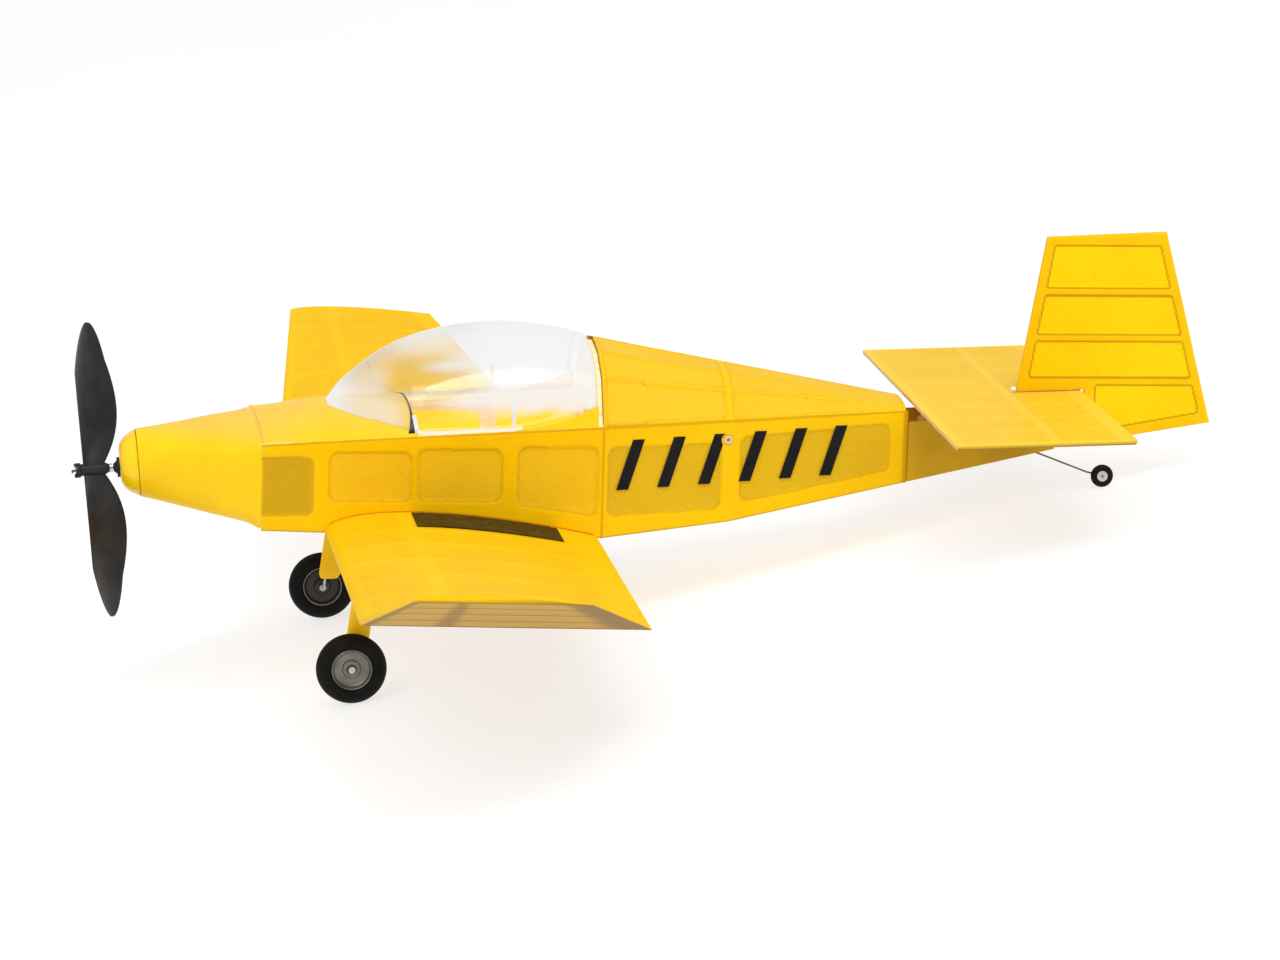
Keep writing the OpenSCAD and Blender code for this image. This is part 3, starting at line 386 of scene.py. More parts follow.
NODE_MATERIALS = {
    M_BLACK: ["nose_bearing", "instrument_panel"],
    M_STEEL: ["thrust_washers", "gear_wires", "wheel_collars", "rudder_post"],
    M_DARKWIRE: ["tail_wire", "prop_shaft"],
    M_ALUMINIUM: ["motor_peg"],
    M_PLY: ["nose_former", "firewall", "peg_plates", "gear_plates"],
    M_CABIN_LIT: ["rear_bulkhead", "side_left", "side_right", "cabin_floor", "fuselage_formers", "longerons"],
    M_BALSA: ["turtledeck_formers", "turtledeck_stringers", "sternpost", "stab_saddle", "wing_spar",
              "leading_edge", "trailing_edge", "wing_ribs", "wing_tips", "stab_frame", "rudder_frame"],
    M_COWL: ["sill_fairings", "belly_sheets"],
    M_BAY_SHADE: ["tail_bay_sides"],
    M_INK: ["marking_left", "marking_right"],
    M_RUBBER: ["motor_front_loop", "rubber_motor"],
    M_TYRE: ["tail_tyre"],
    M_TAILHUB: ["tail_hub"],
    M_WHITE: ["canopy_frame"],
}
for material, names in NODE_MATERIALS.items():
    for name in names:
        mesh = NODES[name].data
        mesh.materials.clear()
        mesh.materials.append(material)


# ---- Mesh building ----
def piece(name, points, faces, material, body, stands_for=(), smooth=40, wall=0.0, masks=None):
    """A mesh from airframe points in millimetres. wall thickens it inwards, smooth is the sharpest angle
    that is shaded round, and masks hold a value for each point."""
    mesh = bpy.data.meshes.new(name)
    mesh.from_pydata([tuple(p) for p in world(points)], [], [tuple(f) for f in faces])
    mesh.validate()
    for key, values in (masks or {}).items():
        made = mesh.attributes.new(key, "FLOAT", "POINT")
        made.data.foreach_set("value", np.ravel(values).astype(np.float32))
    mesh.materials.append(material)
    made = added(name, mesh)
    bm = bmesh.new()
    bm.from_mesh(mesh)
    bmesh.ops.recalc_face_normals(bm, faces=bm.faces)
    bm.to_mesh(mesh)
    bm.free()
    mesh.polygons.foreach_set("use_smooth", [True] * len(mesh.polygons))
    mesh.set_sharp_from_angle(angle=math.radians(smooth))
    if wall:
        shell = made.modifiers.new("wall", "SOLIDIFY")
        shell.offset = -1
        shell.thickness = wall * MM
    if body:
        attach(made, body)
    if stands_for:
        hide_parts(*stands_for)
    return made


def grid_faces(rows, columns, wrap=False):
    """Faces between rows of points. wrap joins each row's last point to its first."""
    faces = []
    last = columns if wrap else columns - 1
    for i in range(rows - 1):
        for j in range(last):
            k = (j + 1) % columns
            faces.append((i * columns + j, i * columns + k, (i + 1) * columns + k, (i + 1) * columns + j))
    return faces


def tube_faces(rows, columns, ring=False):
    """Faces of a tube of loops, with both ends closed, or as a ring whose last loop joins its first."""
    faces = grid_faces(rows, columns, True)
    last = (rows - 1) * columns
    if ring:
        return faces + [(last + i, last + (i + 1) % columns, (i + 1) % columns, i) for i in range(columns)]
    return faces + [tuple(range(columns)), tuple(range(last, last + columns))[::-1]]


def joined(tubes, rings=()):
    """Points and faces of tubes and rings, each given as rows of loops."""
    points, faces = [], []
    for rows, ring in [(t, False) for t in tubes] + [(r, True) for r in rings]:
        rows = np.asarray(rows, float)
        faces += [tuple(i + len(points) for i in f) for f in tube_faces(len(rows), rows.shape[1], ring)]
        points += list(rows.reshape(-1, 3))
    return points, faces


def circle(count):
    return [2 * math.pi * i / count for i in range(count)]


def sheet(name, rows, material, inside, stands_for=(), smooth=40, wall=0.3, masks=None, wrap=False):
    """An open skin through rows of points. It thickens towards inside, a point on the airframe."""
    rows = np.asarray(rows, float)
    faces = grid_faces(len(rows), rows.shape[1], wrap)
    made = piece(name, rows.reshape(-1, 3), faces, material, "fuselage", stands_for, smooth, wall, masks)
    center = Vector(world(inside)[0])
    mesh = made.data
    if sum((p.center - center).dot(p.normal) * p.area for p in mesh.polygons) < 0:
        mesh.flip_normals()
        mesh.set_sharp_from_angle(angle=math.radians(40))


def smoothstep(value, low, high):
    t = np.clip((np.asarray(value, float) - low) / (high - low), 0, 1)
    return t * t * (3 - 2 * t)


def edges_of(field, low=0.12, high=0.45):
    """Where a blurred mask turns from open bay to wood: 1 along the thin line between them."""
    soft = blur(field)
    return smoothstep(1 - np.abs(2 * soft - 1), low, high)


def blur(field, passes=1):
    out = np.asarray(field, float)
    for _ in range(passes):
        pad = np.pad(out, 1, mode="edge")
        out = (pad[:-2, 1:-1] + pad[2:, 1:-1] + pad[1:-1, :-2] + pad[1:-1, 2:] + 4 * out) / 8
    return out


# ---- Fuselage sides ----
SIDE_TREE = tree("covering_right")
SHEET_TREE = tree("side_right")
side_points = vertices("covering_right")
SIDE_X0, SIDE_X1 = side_points[:, 0].min(), side_points[:, 0].max()
BULKHEAD_X = vertices("turtledeck_covering")[:, 0].min()
FIRST_BAY_X = 94


def side_y(x):
    """The side covering's outer surface at station x."""
    return shot(SIDE_TREE, (x, 200, 15), (0, -1, 0)).y


def side_edges(x, y):
    low = shot(SIDE_TREE, (x, y, -120), (0, 0, 1))
    high = shot(SIDE_TREE, (x, y, 160), (0, 0, -1))
    return low.z, high.z


def covered(bvh, start, reach):
    """Share of nine rays around start, looking inboard, that meet wood."""
    x, y, z = start
    hits = sum(shot(bvh, (x + a * reach, y, z + b * reach), (0, -1, 0), 40) is not None
               for a in (-0.7, 0, 0.7) for b in (-0.7, 0, 0.7))
    return hits / 9


def side_covering(sign, name, stands_for):
    """Tissue over one side. It dips a little in the open bays. Lines run round them and at its borders."""
    step, columns = 1.0, 57
    xs = np.append(np.arange(SIDE_X0 + 0.05, SIDE_X1, step), SIDE_X1 + step)
    rows, mask = [], []
    for x in xs:
        inside_x = min(x, SIDE_X1 - 0.05)
        probe_x = min(max(x, SIDE_X0 + 1), SIDE_X1 - 0.6)
        y = side_y(inside_x)
        low, high = side_edges(inside_x, y - 0.2)
        zs = low + (high - low) * np.linspace(0, 1, columns)
        mask.append([covered(SHEET_TREE, (probe_x, y + 20, z), 0.5) for z in zs])
        rows.append([(x, y, z) for z in zs])
    rows, mask = np.array(rows), np.array(mask)
    edge = blur(mask)
    line = edges_of(mask) * 0.45
    line[np.abs(xs - BULKHEAD_X) < 0.8] = 0.7
    line[:, -2:] = 0.55
    line[-2:, :] = 0.6
    # Painted shade in the open bays: the first bay and the bays aft of the bulkhead are coloured darker, as
    # if shade fell on them.
    painted_bay_shade = 0.75 * (1 - smoothstep(xs, FIRST_BAY_X, FIRST_BAY_X + 2))
    painted_bay_shade += 0.4 * smoothstep(xs, BULKHEAD_X, BULKHEAD_X + 2)
    rows[:, :, 1] -= 0.55 * blur(1 - mask, 4)
    rows[:, :, 1] *= sign
    masks = {"wood": edge, "line": line, "painted_bay_shade": (1 - edge) * painted_bay_shade[:, None]}
    sheet(name, rows, M_SIDE, (200, 0, 5), stands_for, 50, 0.3, masks)


side_covering(1, "tissue_side_right", ["covering_right"])
side_covering(-1, "tissue_side_left", ["covering_left"])


# ---- Cowl, nose block and front deck ----
def ease_corners(rows, passes):
    """Softens the corners of closed rows a little, always inwards or level."""
    out = rows.copy()
    for _ in range(passes):
        out[:, :, 1:] = (np.roll(out, 1, 1) + np.roll(out, -1, 1) + 2 * out)[:, :, 1:] / 4
    return out


COWL_X1 = vertices("cowl")[:, 0].max()
COWL_Z = 1.6


def ease_joint(rows):
    """Takes the ridge off the top where the cowl meets the deck."""
    near = np.clip(1 - ((rows[..., 0] - COWL_X1) / 26) ** 2, 0, 1) ** 2
    rows[..., 2] -= 1.0 * near * smoothstep(rows[..., 2], 12, 24)
    return rows


def make_cowl():
    """The moulded cowl. Its front edge leans with the nose block, so each line of points starts at its own
    station."""
    rows_along = 40
    bvh = tree("cowl")
    front = lean(vertices("cowl"), -1)[:, 0].min() + 0.03
    rim = 16.9
    rows = []
    for s in np.linspace(0, 1, rows_along):
        row = []
        for a in circle(160):
            out = Vector((0, math.sin(a), math.cos(a)))
            x0 = (front - (COWL_Z + rim * math.cos(a)) * LEAN_SIN) / LEAN_COS + 0.05
            x = x0 + (COWL_X1 - 0.02 - x0) * s
            hit = shot(bvh, Vector((x, 0, COWL_Z)) + out * 150, -out, 150)
            row.append([x, hit.y, hit.z])
        rows.append(row)
    rows = np.array(rows)
    eased = ease_corners(rows, 12)
    hold = smoothstep(np.linspace(0, 1, rows_along), 0.86, 1)[:, None, None]
    rows = eased * (1 - hold) + ease_corners(rows, 1) * hold
    rows[-1, :, 0] += 0.6
    rows = ease_joint(rows)
    lip = rows[0].copy()
    lip[:, 1:] *= 0.94
    lip[:, 0] += 0.5
    rows = np.concatenate([lip[None], rows])
    sheet("cowl_shell", rows, M_COWL, (40, 0, 0), ["cowl"], 45, 1.2, wrap=True)


make_cowl()


def lathe(name, profile, material, body, place, axis, stands_for=(), count=96, smooth=35, ring=False,
          masks=None):
    """Turns (along, radius) pairs about an axis of the airframe, through place. A ring's profile closes on
    itself. The x axis is the leaning thrust line. masks holds one value for each pair."""
    across = {"x": ((1, 0, 0), (0, 1, 0), (0, 0, 1)), "y": ((0, 1, 0), (0, 0, 1), (1, 0, 0))}[axis]
    along, u, v = (np.array(a, float) for a in across)
    points = [np.array(place) + along * step + (u * math.cos(a) + v * math.sin(a)) * radius
              for step, radius in profile for a in circle(count)]
    if axis == "x":
        points = lean(points)
    masks = {key: np.repeat(values, count) for key, values in (masks or {}).items()}
    faces = tube_faces(len(profile), count, ring)
    piece(name, points, faces, material, body, stands_for, smooth, 0, masks)


def spline(points, count):
    """Catmull-Rom curve through points, as rows."""
    p = np.array(points, float)
    p = np.vstack([2 * p[0] - p[1], p, 2 * p[-1] - p[-2]])
    out = []
    for i in range(1, len(p) - 2):
        for t in np.linspace(0, 1, count, endpoint=False):
            a, b, c, d = p[i - 1:i + 3]
            out.append(0.5 * (2 * b + (c - a) * t + (2 * a - 5 * b + 4 * c - d) * t * t
                              + (3 * b - a - 3 * c + d) * t ** 3))
    out.append(p[-2])
    return np.array(out)


def make_nose_block():
    """The rounded nose, from its flat face to the rim that meets the cowl, and the plug behind it."""
    block = lean(vertices("nose_block"), -1)
    radius = np.hypot(block[:, 1], block[:, 2] - COWL_Z)
    rim = radius.max()
    rim_x = block[np.abs(radius - rim) < 0.05][:, 0].max()
    back_x = block[:, 0].max()
    curve = spline([(0, 8.0), (0.5, 10.0), (2.3, 12.6), (4.8, 14.6), (7.2, 15.9), (rim_x - 0.4, rim)], 6)
    plug = 9.2
    back = [(rim_x, rim - 0.4), (rim_x, plug), (back_x, plug), (back_x, 2.0)]
    profile = [(0, 2.0)] + [tuple(p) for p in curve] + back
    lathe("nose_block_turned", profile, M_NOSE, "nose_plug", (0, 0, COWL_Z), "x", ["nose_block"])


make_nose_block()


def make_front_deck():
    """The crowned deck ahead of the cabin. Its first row tucks under the cowl."""
    deck = vertices("front_deck")
    x0, x1 = deck[:, 0].min(), deck[:, 0].max()
    bvh = tree("front_deck")
    rows = []
    for x in np.linspace(x0 - 0.1, x1 - 0.05, 40):
        base = deck[np.abs(deck[:, 0] - x) < 14][:, 2].min()
        half = side_y(min(max(x, SIDE_X0 + 0.1), SIDE_X1)) - 0.4
        row = []
        for t in np.linspace(-1, 1, 73):
            y = half * math.sin(t * math.pi / 2) * 0.9995
            hit = shot(bvh, (max(x, x0 + 0.02), y, 90), (0, 0, -1))
            row.append([x, y, hit.z if hit else base])
        rows.append(row)
    rows = np.array(rows)
    for _ in range(6):
        rows[:, 1:-1, 2] = (rows[:, :-2, 2] + rows[:, 2:, 2] + 2 * rows[:, 1:-1, 2]) / 4
    rows = ease_joint(rows)
    rows[0, :, 2] -= 0.3
    sheet("front_deck_sheet", rows, M_COWL, (105, 0, -40), ["front_deck"], 45, 0.9)


make_front_deck()


# ---- Turtledeck ----
def end_outline(points):
    """The outer corners of the covering's end, from starboard over the top to port."""
    base = points[:, 2].min()
    angle = np.arctan2(points[:, 2] - base + 0.01, points[:, 1])
    keep, used = [], []
    for i in np.argsort(angle):
        if used and abs(angle[i] - used[-1]) < 0.08:
            if np.hypot(points[i][1], points[i][2] - base) > np.hypot(keep[-1][1], keep[-1][2] - base):
                keep[-1] = points[i]
            continue
        keep.append(points[i])
        used.append(angle[i])
    return np.array(keep)


def arch(u):
    """0 at both ends of a bay and 1 in its middle."""
    return math.sin(math.pi * min(max(u, 0), 1))


def make_turtledeck():
    """Tissue in flat facets between the stringers, sagging between the formers."""
    cover = vertices("turtledeck_covering")
    x0, x1 = cover[:, 0].min(), cover[:, 0].max()
    formers = sorted({round(v, 0) for v in vertices("turtledeck_formers")[:, 0]})
    stops = [x0] + [f for f in formers if x0 + 5 < f < x1 - 5] + [x1]
    stops = [stops[0]] + [b for a, b in zip(stops, stops[1:]) if b - a > 4]
    a, b = (end_outline(cover[np.abs(cover[:, 0] - x) < 0.01]) for x in (x0, x1))
    facets, sub, stringer, former = len(a) - 1, 20, 1.1, 1.9
    rows, mask = [], []
    for x in np.linspace(x0 + 0.05, x1 - 0.05, 160):
        t = (x - x0) / (x1 - x0)
        loop = a + (b - a) * t
        bay = max(i for i, s in enumerate(stops[:-1]) if x >= s - 1e-6)
        hollow = arch((x - stops[bay]) / (stops[bay + 1] - stops[bay]))
        near = min(abs(x - s) for s in (stops[0], stops[1], stops[-1]))
        row, marks = [], []
        for k in range(facets):
            out = loop[k:k + 2].mean(0) - np.array([x, 0, loop[:, 2].min()])
            out[0] = 0
            out /= np.linalg.norm(out)
            wide = np.linalg.norm(loop[k + 1] - loop[k])
            for j in range(sub + (k == facets - 1)):
                v = j / sub
                sag = 0.9 * hollow * math.sin(math.pi * v) * (1 - 0.5 * t)
                p = loop[k] + (loop[k + 1] - loop[k]) * v - out * sag
                row.append([x, p[1], p[2]])
                marks.append(1.0 if min(v, 1 - v) * wide < stringer or near < former else 0.0)
        rows.append(row)
        mask.append(marks)
    masks = {"wood": blur(mask), "line": edges_of(mask) * 0.6}
    sheet("turtledeck_tissue", rows, M_DECK, (310, 0, 0), ["turtledeck_covering"], 12, 0.3, masks)


make_turtledeck()


# ---- Wing ----
def span_station(node_name, y):
    """Where the airfoil of a covering starts and ends at one of its end stations."""
    points = vertices(node_name)
    points = points[np.abs(points[:, 1] - y) < 0.05]
    lead = points[np.argmin(points[:, 0])]
    trail = points[np.argmax(points[:, 0])]
    bottom = points[points[:, 0] < lead[0] + 0.01][:, 2].min()
    tail = points[points[:, 0] > trail[0] - 0.01][:, 2].min()
    return {"x": lead[0], "chord": trail[0] - lead[0], "z": bottom + 0.5, "drop": bottom - tail}


center_points = vertices("wing_covering_center")
BREAK_Y = center_points[:, 1].max()
right_points = vertices("wing_covering_right")
TIP_Y = right_points[:, 1].max()
ROOT = span_station("wing_covering_center", BREAK_Y)
INNER = span_station("wing_covering_right", right_points[:, 1].min())
TIP = span_station("wing_covering_right", TIP_Y)


def airfoil(u):
    return math.sqrt(max(u, 0)) * (1 - u) / 0.385


def fitted_rise(node_name, y, station):
    """The height of the airfoil at an end station, from the CAD's own points."""
    points = vertices(node_name)
    points = points[np.abs(points[:, 1] - y) < 0.05]
    best = 0
    for x, _, z in points:
        u = (x - station["x"]) / station["chord"]
        if 0.15 < u < 0.6:
            best = max(best, (z - station["z"] + station["drop"] * u) / airfoil(u))
    return best


ROOT["rise"] = fitted_rise("wing_covering_center", BREAK_Y, ROOT)
INNER["rise"] = ROOT["rise"]
TIP["rise"] = fitted_rise("wing_covering_right", TIP_Y, TIP)


def station_at(y):
    """The airfoil's place at any distance out along the wing."""
    if abs(y) <= BREAK_Y:
        return ROOT
    t = (abs(y) - BREAK_Y) / (TIP_Y - BREAK_Y)
    return {k: INNER[k] + (TIP[k] - INNER[k]) * t for k in ROOT}


def wing_top(x, y):
    s = station_at(y)
    u = min(max((x - s["x"]) / s["chord"], 0), 1)
    return s["z"] - s["drop"] * u + s["rise"] * airfoil(u)


def rib_places():
    ys = vertices("wing_ribs")[:, 1]
    return sorted({round(y - 0.6) for y in ys[ys > 0]})


RIBS = rib_places()
SPAR = vertices("wing_spar")
SPAR_U = [(SPAR[np.abs(SPAR[:, 1]) < BREAK_Y][:, 0].min() - ROOT["x"]) / ROOT["chord"],
          (SPAR[np.abs(SPAR[:, 1]) < BREAK_Y][:, 0].max() - ROOT["x"]) / ROOT["chord"]]
LEAD_U, TRAIL_U = 0.05, 0.86
STOPS = sorted({-r for r in RIBS} | set(RIBS) | {-BREAK_Y, BREAK_Y, -TIP_Y, TIP_Y, -53, 53})


def wing_skin(name, y0, y1, stands_for):
    """A closed skin from y0 to y1. It sags between the ribs, from the leading edge to the trailing edge."""
    ys = list(np.arange(y0, y1, 1.0 if y1 > y0 else -1.0)) + [y1]
    top_steps, low_steps = 46, 30
    top_us = [(i / top_steps) ** 1.8 for i in range(top_steps, -1, -1)]
    low_us = [min((i / low_steps) ** 1.3, 1) for i in range(1, low_steps + 1)]
    us = np.array(top_us + low_us)
    upper = np.arange(len(us)) <= top_steps
    open_here = (LEAD_U < us) & (us < TRAIL_U)
    dip = np.where(open_here, np.sin(np.pi * np.clip((us - LEAD_U) / (TRAIL_U - LEAD_U), 0, 1)) ** 0.6, 0)
    foil = np.array([airfoil(u) for u in us])
    spar = (SPAR_U[0] - 0.006 <= us) & (us <= SPAR_U[1] + 0.006)
    rows, mask = [], []
    for y in ys:
        s = station_at(y)
        left = max([r for r in STOPS if r <= y + 1e-6], default=y)
        right = min([r for r in STOPS if r > y + 1e-6], default=y)
        wide = max(right - left, 1e-6)
        hollow = max(arch((y - left) / wide), 0) ** 0.7 if wide < 60 else 0
        sag = np.where(upper, -min(0.55, s["rise"] * 0.08), 0.35) * hollow * dip
        z = s["z"] - s["drop"] * us + np.where(upper, s["rise"] * foil, -0.5) + sag
        rows.append(np.column_stack([s["x"] + s["chord"] * us, np.full(len(us), y), z]))
        rib = min(abs(y - r) for r in STOPS) < 1.1
        mask.append(np.where(spar | ~open_here | rib, 1.0, 0.0))
    masks = {"wood": blur(mask), "line": edges_of(mask) * 0.25, "below": np.tile(~upper, len(ys))}
    piece(name, *joined([rows]), M_WING, "fuselage", stands_for, 50, 0, masks)


wing_skin("wing_tissue_center", -BREAK_Y, BREAK_Y, ["wing_covering_center"])
wing_skin("wing_tissue_right", BREAK_Y + 0.2, TIP_Y, ["wing_covering_right"])
wing_skin("wing_tissue_left", -BREAK_Y - 0.2, -TIP_Y, ["wing_covering_left"])


def make_walkway(sign, name, stands_for):
    """A gritty dark strip that follows the top of the wing beside the fuselage."""
    strip = vertices("walkways")
    strip = strip[strip[:, 1] > 0]
    xs = np.linspace(strip[:, 0].min(), strip[:, 0].max(), 60)
    ys = np.linspace(strip[:, 1].min(), strip[:, 1].max(), 28)
    rows = [[(x, y * sign, wing_top(x, y) + 0.32 + rng.uniform(0, 0.16)) for y in ys] for x in xs]
    sheet(name, rows, M_WALK, (175, 70 * sign, -100), stands_for, 80, 0.4)


make_walkway(1, "walkway_right", ["walkways"])
make_walkway(-1, "walkway_left", ["walkways"])


# ---- Stabiliser and rudder ----
STAB = vertices("stab_covering")
STAB_HALF = STAB[:, 1].max()
STAB_TREE = tree("stab_covering")
STAB_FRAME = tree("stab_frame")


def make_stabiliser():
    """Tissue over the tail's frame, rounded at its rim. It sags where no wood lies under it."""
    x0, x1 = STAB[:, 0].min() - 0.2, STAB[:, 0].max() + 0.2
    half_span = STAB_HALF + 0.2
    us = np.linspace(0, 1, 89)
    ys = np.linspace(-half_span, half_span, 241)
    fore, aft = x0 + 3, x1 - 3
    tops = [shot(STAB_TREE, (x, 20, 90), (0, 0, -1)).z for x in (fore, aft)]
    lows = [shot(STAB_TREE, (x, 20, -60), (0, 0, 1)).z for x in (fore, aft)]

    def between(x, ends):
        return ends[0] + (ends[1] - ends[0]) * (x - fore) / (aft - fore)

    wood = np.zeros((len(ys), len(us)))
    for i, y in enumerate(ys):
        for j, u in enumerate(us):
            hit = shot(STAB_FRAME, (x0 + (x1 - x0) * u, y * 0.997, 90), (0, 0, -1))
            wood[i, j] = 1.0 if hit is not None or u < 0.02 or u > 0.98 else 0.0
    dip, edge, line = blur(1 - wood, 4), blur(wood), edges_of(wood) * 0.3
    loop = [(j, True) for j in range(len(us) - 1, -1, -1)] + [(j, False) for j in range(1, len(us) - 1)]
    rows = []
    for i, y in enumerate(ys):
        side = max(0.0, abs(y) - half_span + 1.3)
        row = []
        for j, top in loop:
            x = x0 + (x1 - x0) * us[j]
            high, low = between(x, tops), between(x, lows)
            inset = max(0.0, 1.3 - min(us[j], 1 - us[j]) * (x1 - x0), side)
            half = (high - low) / 2 * math.sqrt(max(1 - (inset / 1.35) ** 2, 0.68)) - 0.3 * dip[i, j]
            row.append([x, y, (high + low) / 2 + (half if top else -half)])
        rows.append(row)
    order = [j for j, top in loop]
    below = [[not top for j, top in loop]] * len(ys)
    masks = {"wood": edge[:, order], "line": line[:, order], "below": below}
    piece("stabiliser_tissue", *joined([rows]), M_TAIL, "fuselage", ["stab_covering"], 60, 0, masks)


make_stabiliser()


def gridded_outline(corners, step):
    """A flat polygon in x and z, cut into a grid, as a bmesh in millimetres."""
    bm = bmesh.new()
    verts = [bm.verts.new((x, 0, z)) for x, z in corners]
    bm.faces.new(verts)
    low = np.min(corners, 0)
    high = np.max(corners, 0)
    for axis, normal in ((0, (1, 0, 0)), (1, (0, 0, 1))):
        for at in np.arange(low[axis] + step * 0.5, high[axis], step):
            point = (at, 0, 0) if axis == 0 else (0, 0, at)
            bmesh.ops.bisect_plane(bm, geom=bm.verts[:] + bm.edges[:] + bm.faces[:], plane_co=point,
                                   plane_no=normal, dist=1e-5)
    return bm


def make_rudder():
    """Tissue over both sides of the rudder's frame, cut into a fine grid inside its outline."""
    points = vertices("rudder_covering")
    flat = np.unique(np.round(points[:, [0, 2]], 1), axis=0)
    middle = flat.mean(0)
    corners = flat[np.argsort(np.arctan2(flat[:, 1] - middle[1], flat[:, 0] - middle[0]))]
    half = points[:, 1].max()
    frame_tree = tree("rudder_frame")
    bm = gridded_outline([tuple(c) for c in corners], 0.7)
    bm.verts.ensure_lookup_table()
    bm.edges.ensure_lookup_table()
    rim = {v.index for e in bm.edges if e.is_boundary for v in e.verts}
    flat_points = [(v.co.x, v.co.z) for v in bm.verts]
    solid = np.array([covered(frame_tree, (x, 20, z), 0.6) for x, z in flat_points])
    for i in rim:
        solid[i] = 1.0
    links = [[e.other_vert(v).index for e in v.link_edges] for v in bm.verts]
    soft = solid.copy()
    for step in range(3):
        soft = np.array([(soft[i] + np.mean(soft[near])) / 2 if near else soft[i]
                         for i, near in enumerate(links)])
        if step == 1:
            line = smoothstep(1 - np.abs(2 * soft - 1), 0.3, 0.85) * 0.8
    faces = [[v.index for v in f.verts] for f in bm.faces]
    edges = [(e.verts[0].index, e.verts[1].index) for e in bm.edges if e.is_boundary]
    bm.free()
    count = len(flat_points)
    all_points = []
    for sign in (1, -1):
        for i, (x, z) in enumerate(flat_points):
            y = half * 0.86 if i in rim else half - 0.55 * (1 - soft[i])
            out = np.array([x, z]) - middle
            out *= 0.22 / np.linalg.norm(out) if i in rim else 0
            all_points.append([x + out[0], sign * y, z + out[1]])
    all_faces = faces + [[i + count for i in f][::-1] for f in faces]
    all_faces += [(a, b, b + count, a + count) for a, b in edges]
    piece("rudder_tissue", all_points, all_faces, M_FIN, "rudder", ["rudder_covering"], 60, 0,
          {"wood": np.tile(solid, 2), "line": np.tile(line, 2)})


make_rudder()


def make_foot_bead():
    """The white bead and wire end that hold the rudder's foot."""
    front = vertices("rudder_frame")
    x = front[:, 0].min() - 1.6
    z = shot(STAB_TREE, (x, 0, 90), (0, 0, -1)).z
    profile = [(1.5 * -math.cos(a), 1.5 * math.sin(a) + 0.05) for a in np.linspace(0, math.pi, 17)]
    lathe("rudder_foot_bead", profile, M_WHITE, "fuselage", (x, 0, z + 1.3), "y", (), 24)
    wire = [(-2.6, 0.32), (2.6, 0.32)]
    lathe("rudder_foot_wire", wire, M_STEEL, "fuselage", (x, 0, z + 1.3), "y", (), 12)


make_foot_bead()


# ---- Canopy ----
PAINTED_REFLECTION_LIMIT = 0.62


def canopy_painted_reflection(aft, rise):
    """How white the shell looks: painted reflection of the studio and its highlight, at its rear, crown,
    foot and front, round a clear patch.
    """
    start = 147 + 17 * smoothstep(rise, 42, 50)
    haze_and_painted_reflection = 0.58 * smoothstep(rise, 37, 41) * smoothstep(aft - start, 0, 22)
    haze_and_painted_reflection += 0.45 * smoothstep(rise, 57, 66) * (1 - smoothstep(aft, 150, 185))
    haze_and_painted_reflection += 0.34 * (1 - smoothstep(rise, 40, 48)) * (1 - smoothstep(aft, 128, 142))
    haze_and_painted_reflection += 0.25 * (1 - smoothstep(aft, 104, 116))
    haze_and_painted_reflection *= 1 - 0.9 * np.exp(-((aft - 142) / 30) ** 2 - ((rise - 53 - 0.2 * (aft - 142)) / 10) ** 2)
    return np.minimum(haze_and_painted_reflection, PAINTED_REFLECTION_LIMIT)


def make_canopy():
    """The clear shell, from rows of points found on the part's shell at each of its stations."""
    shell = vertices("canopy")
    xs = sorted({round(x, 1) for x in shell[:, 0]})
    bvh = tree("canopy")
    rows = []
    for x in xs:
        x_in = min(max(x, xs[0] + 0.02), xs[-1] - 0.02)
        base = shell[np.abs(shell[:, 0] - x) < 0.06][:, 2].min()
        row = []
        for a in np.clip(np.linspace(0, math.pi, 33), 0.004, math.pi - 0.004):
            out = Vector((0, math.cos(a), math.sin(a)))
            hit = shot(bvh, Vector((x_in, 0, base)) + out * 150, -out, 150)
            row.append([x, hit.y, hit.z] if hit else [x, 0, base])
        rows.append(row)
    fine = np.array([spline(line, 6) for line in np.array(rows).transpose(1, 0, 2)]).transpose(1, 0, 2)
    for _ in range(3):
        fine[:, 1:-1, 1:] = (fine[:, :-2, 1:] + fine[:, 2:, 1:] + 2 * fine[:, 1:-1, 1:]) / 4
    # The mask of painted reflection on the shell.
    masks = {"haze_and_painted_reflection": canopy_painted_reflection(fine[:, :, 0], fine[:, :, 2])}
    sheet("canopy_shell", fine, M_CLEAR, (165, 0, 20), ["canopy"], 60, 0.35, masks)
    return fine


CANOPY = make_canopy()


STRAP_SECTION = ((-0.5, 0), (0.5, 0), (0.5, 1), (-0.5, 1))


def strap(name, paths, wide, thick, stands_for=()):
    """White flat straps along paths of (point, outward, along-the-width) rows."""
    tubes = []
    for path in paths:
        rows = [[np.array(v, float) for v in row] for row in path]
        tubes.append([[p + across * wide * a + out * thick * b for a, b in STRAP_SECTION]
                      for p, out, across in rows])
    piece(name, *joined(tubes), M_WHITE, "fuselage", stands_for, 40)


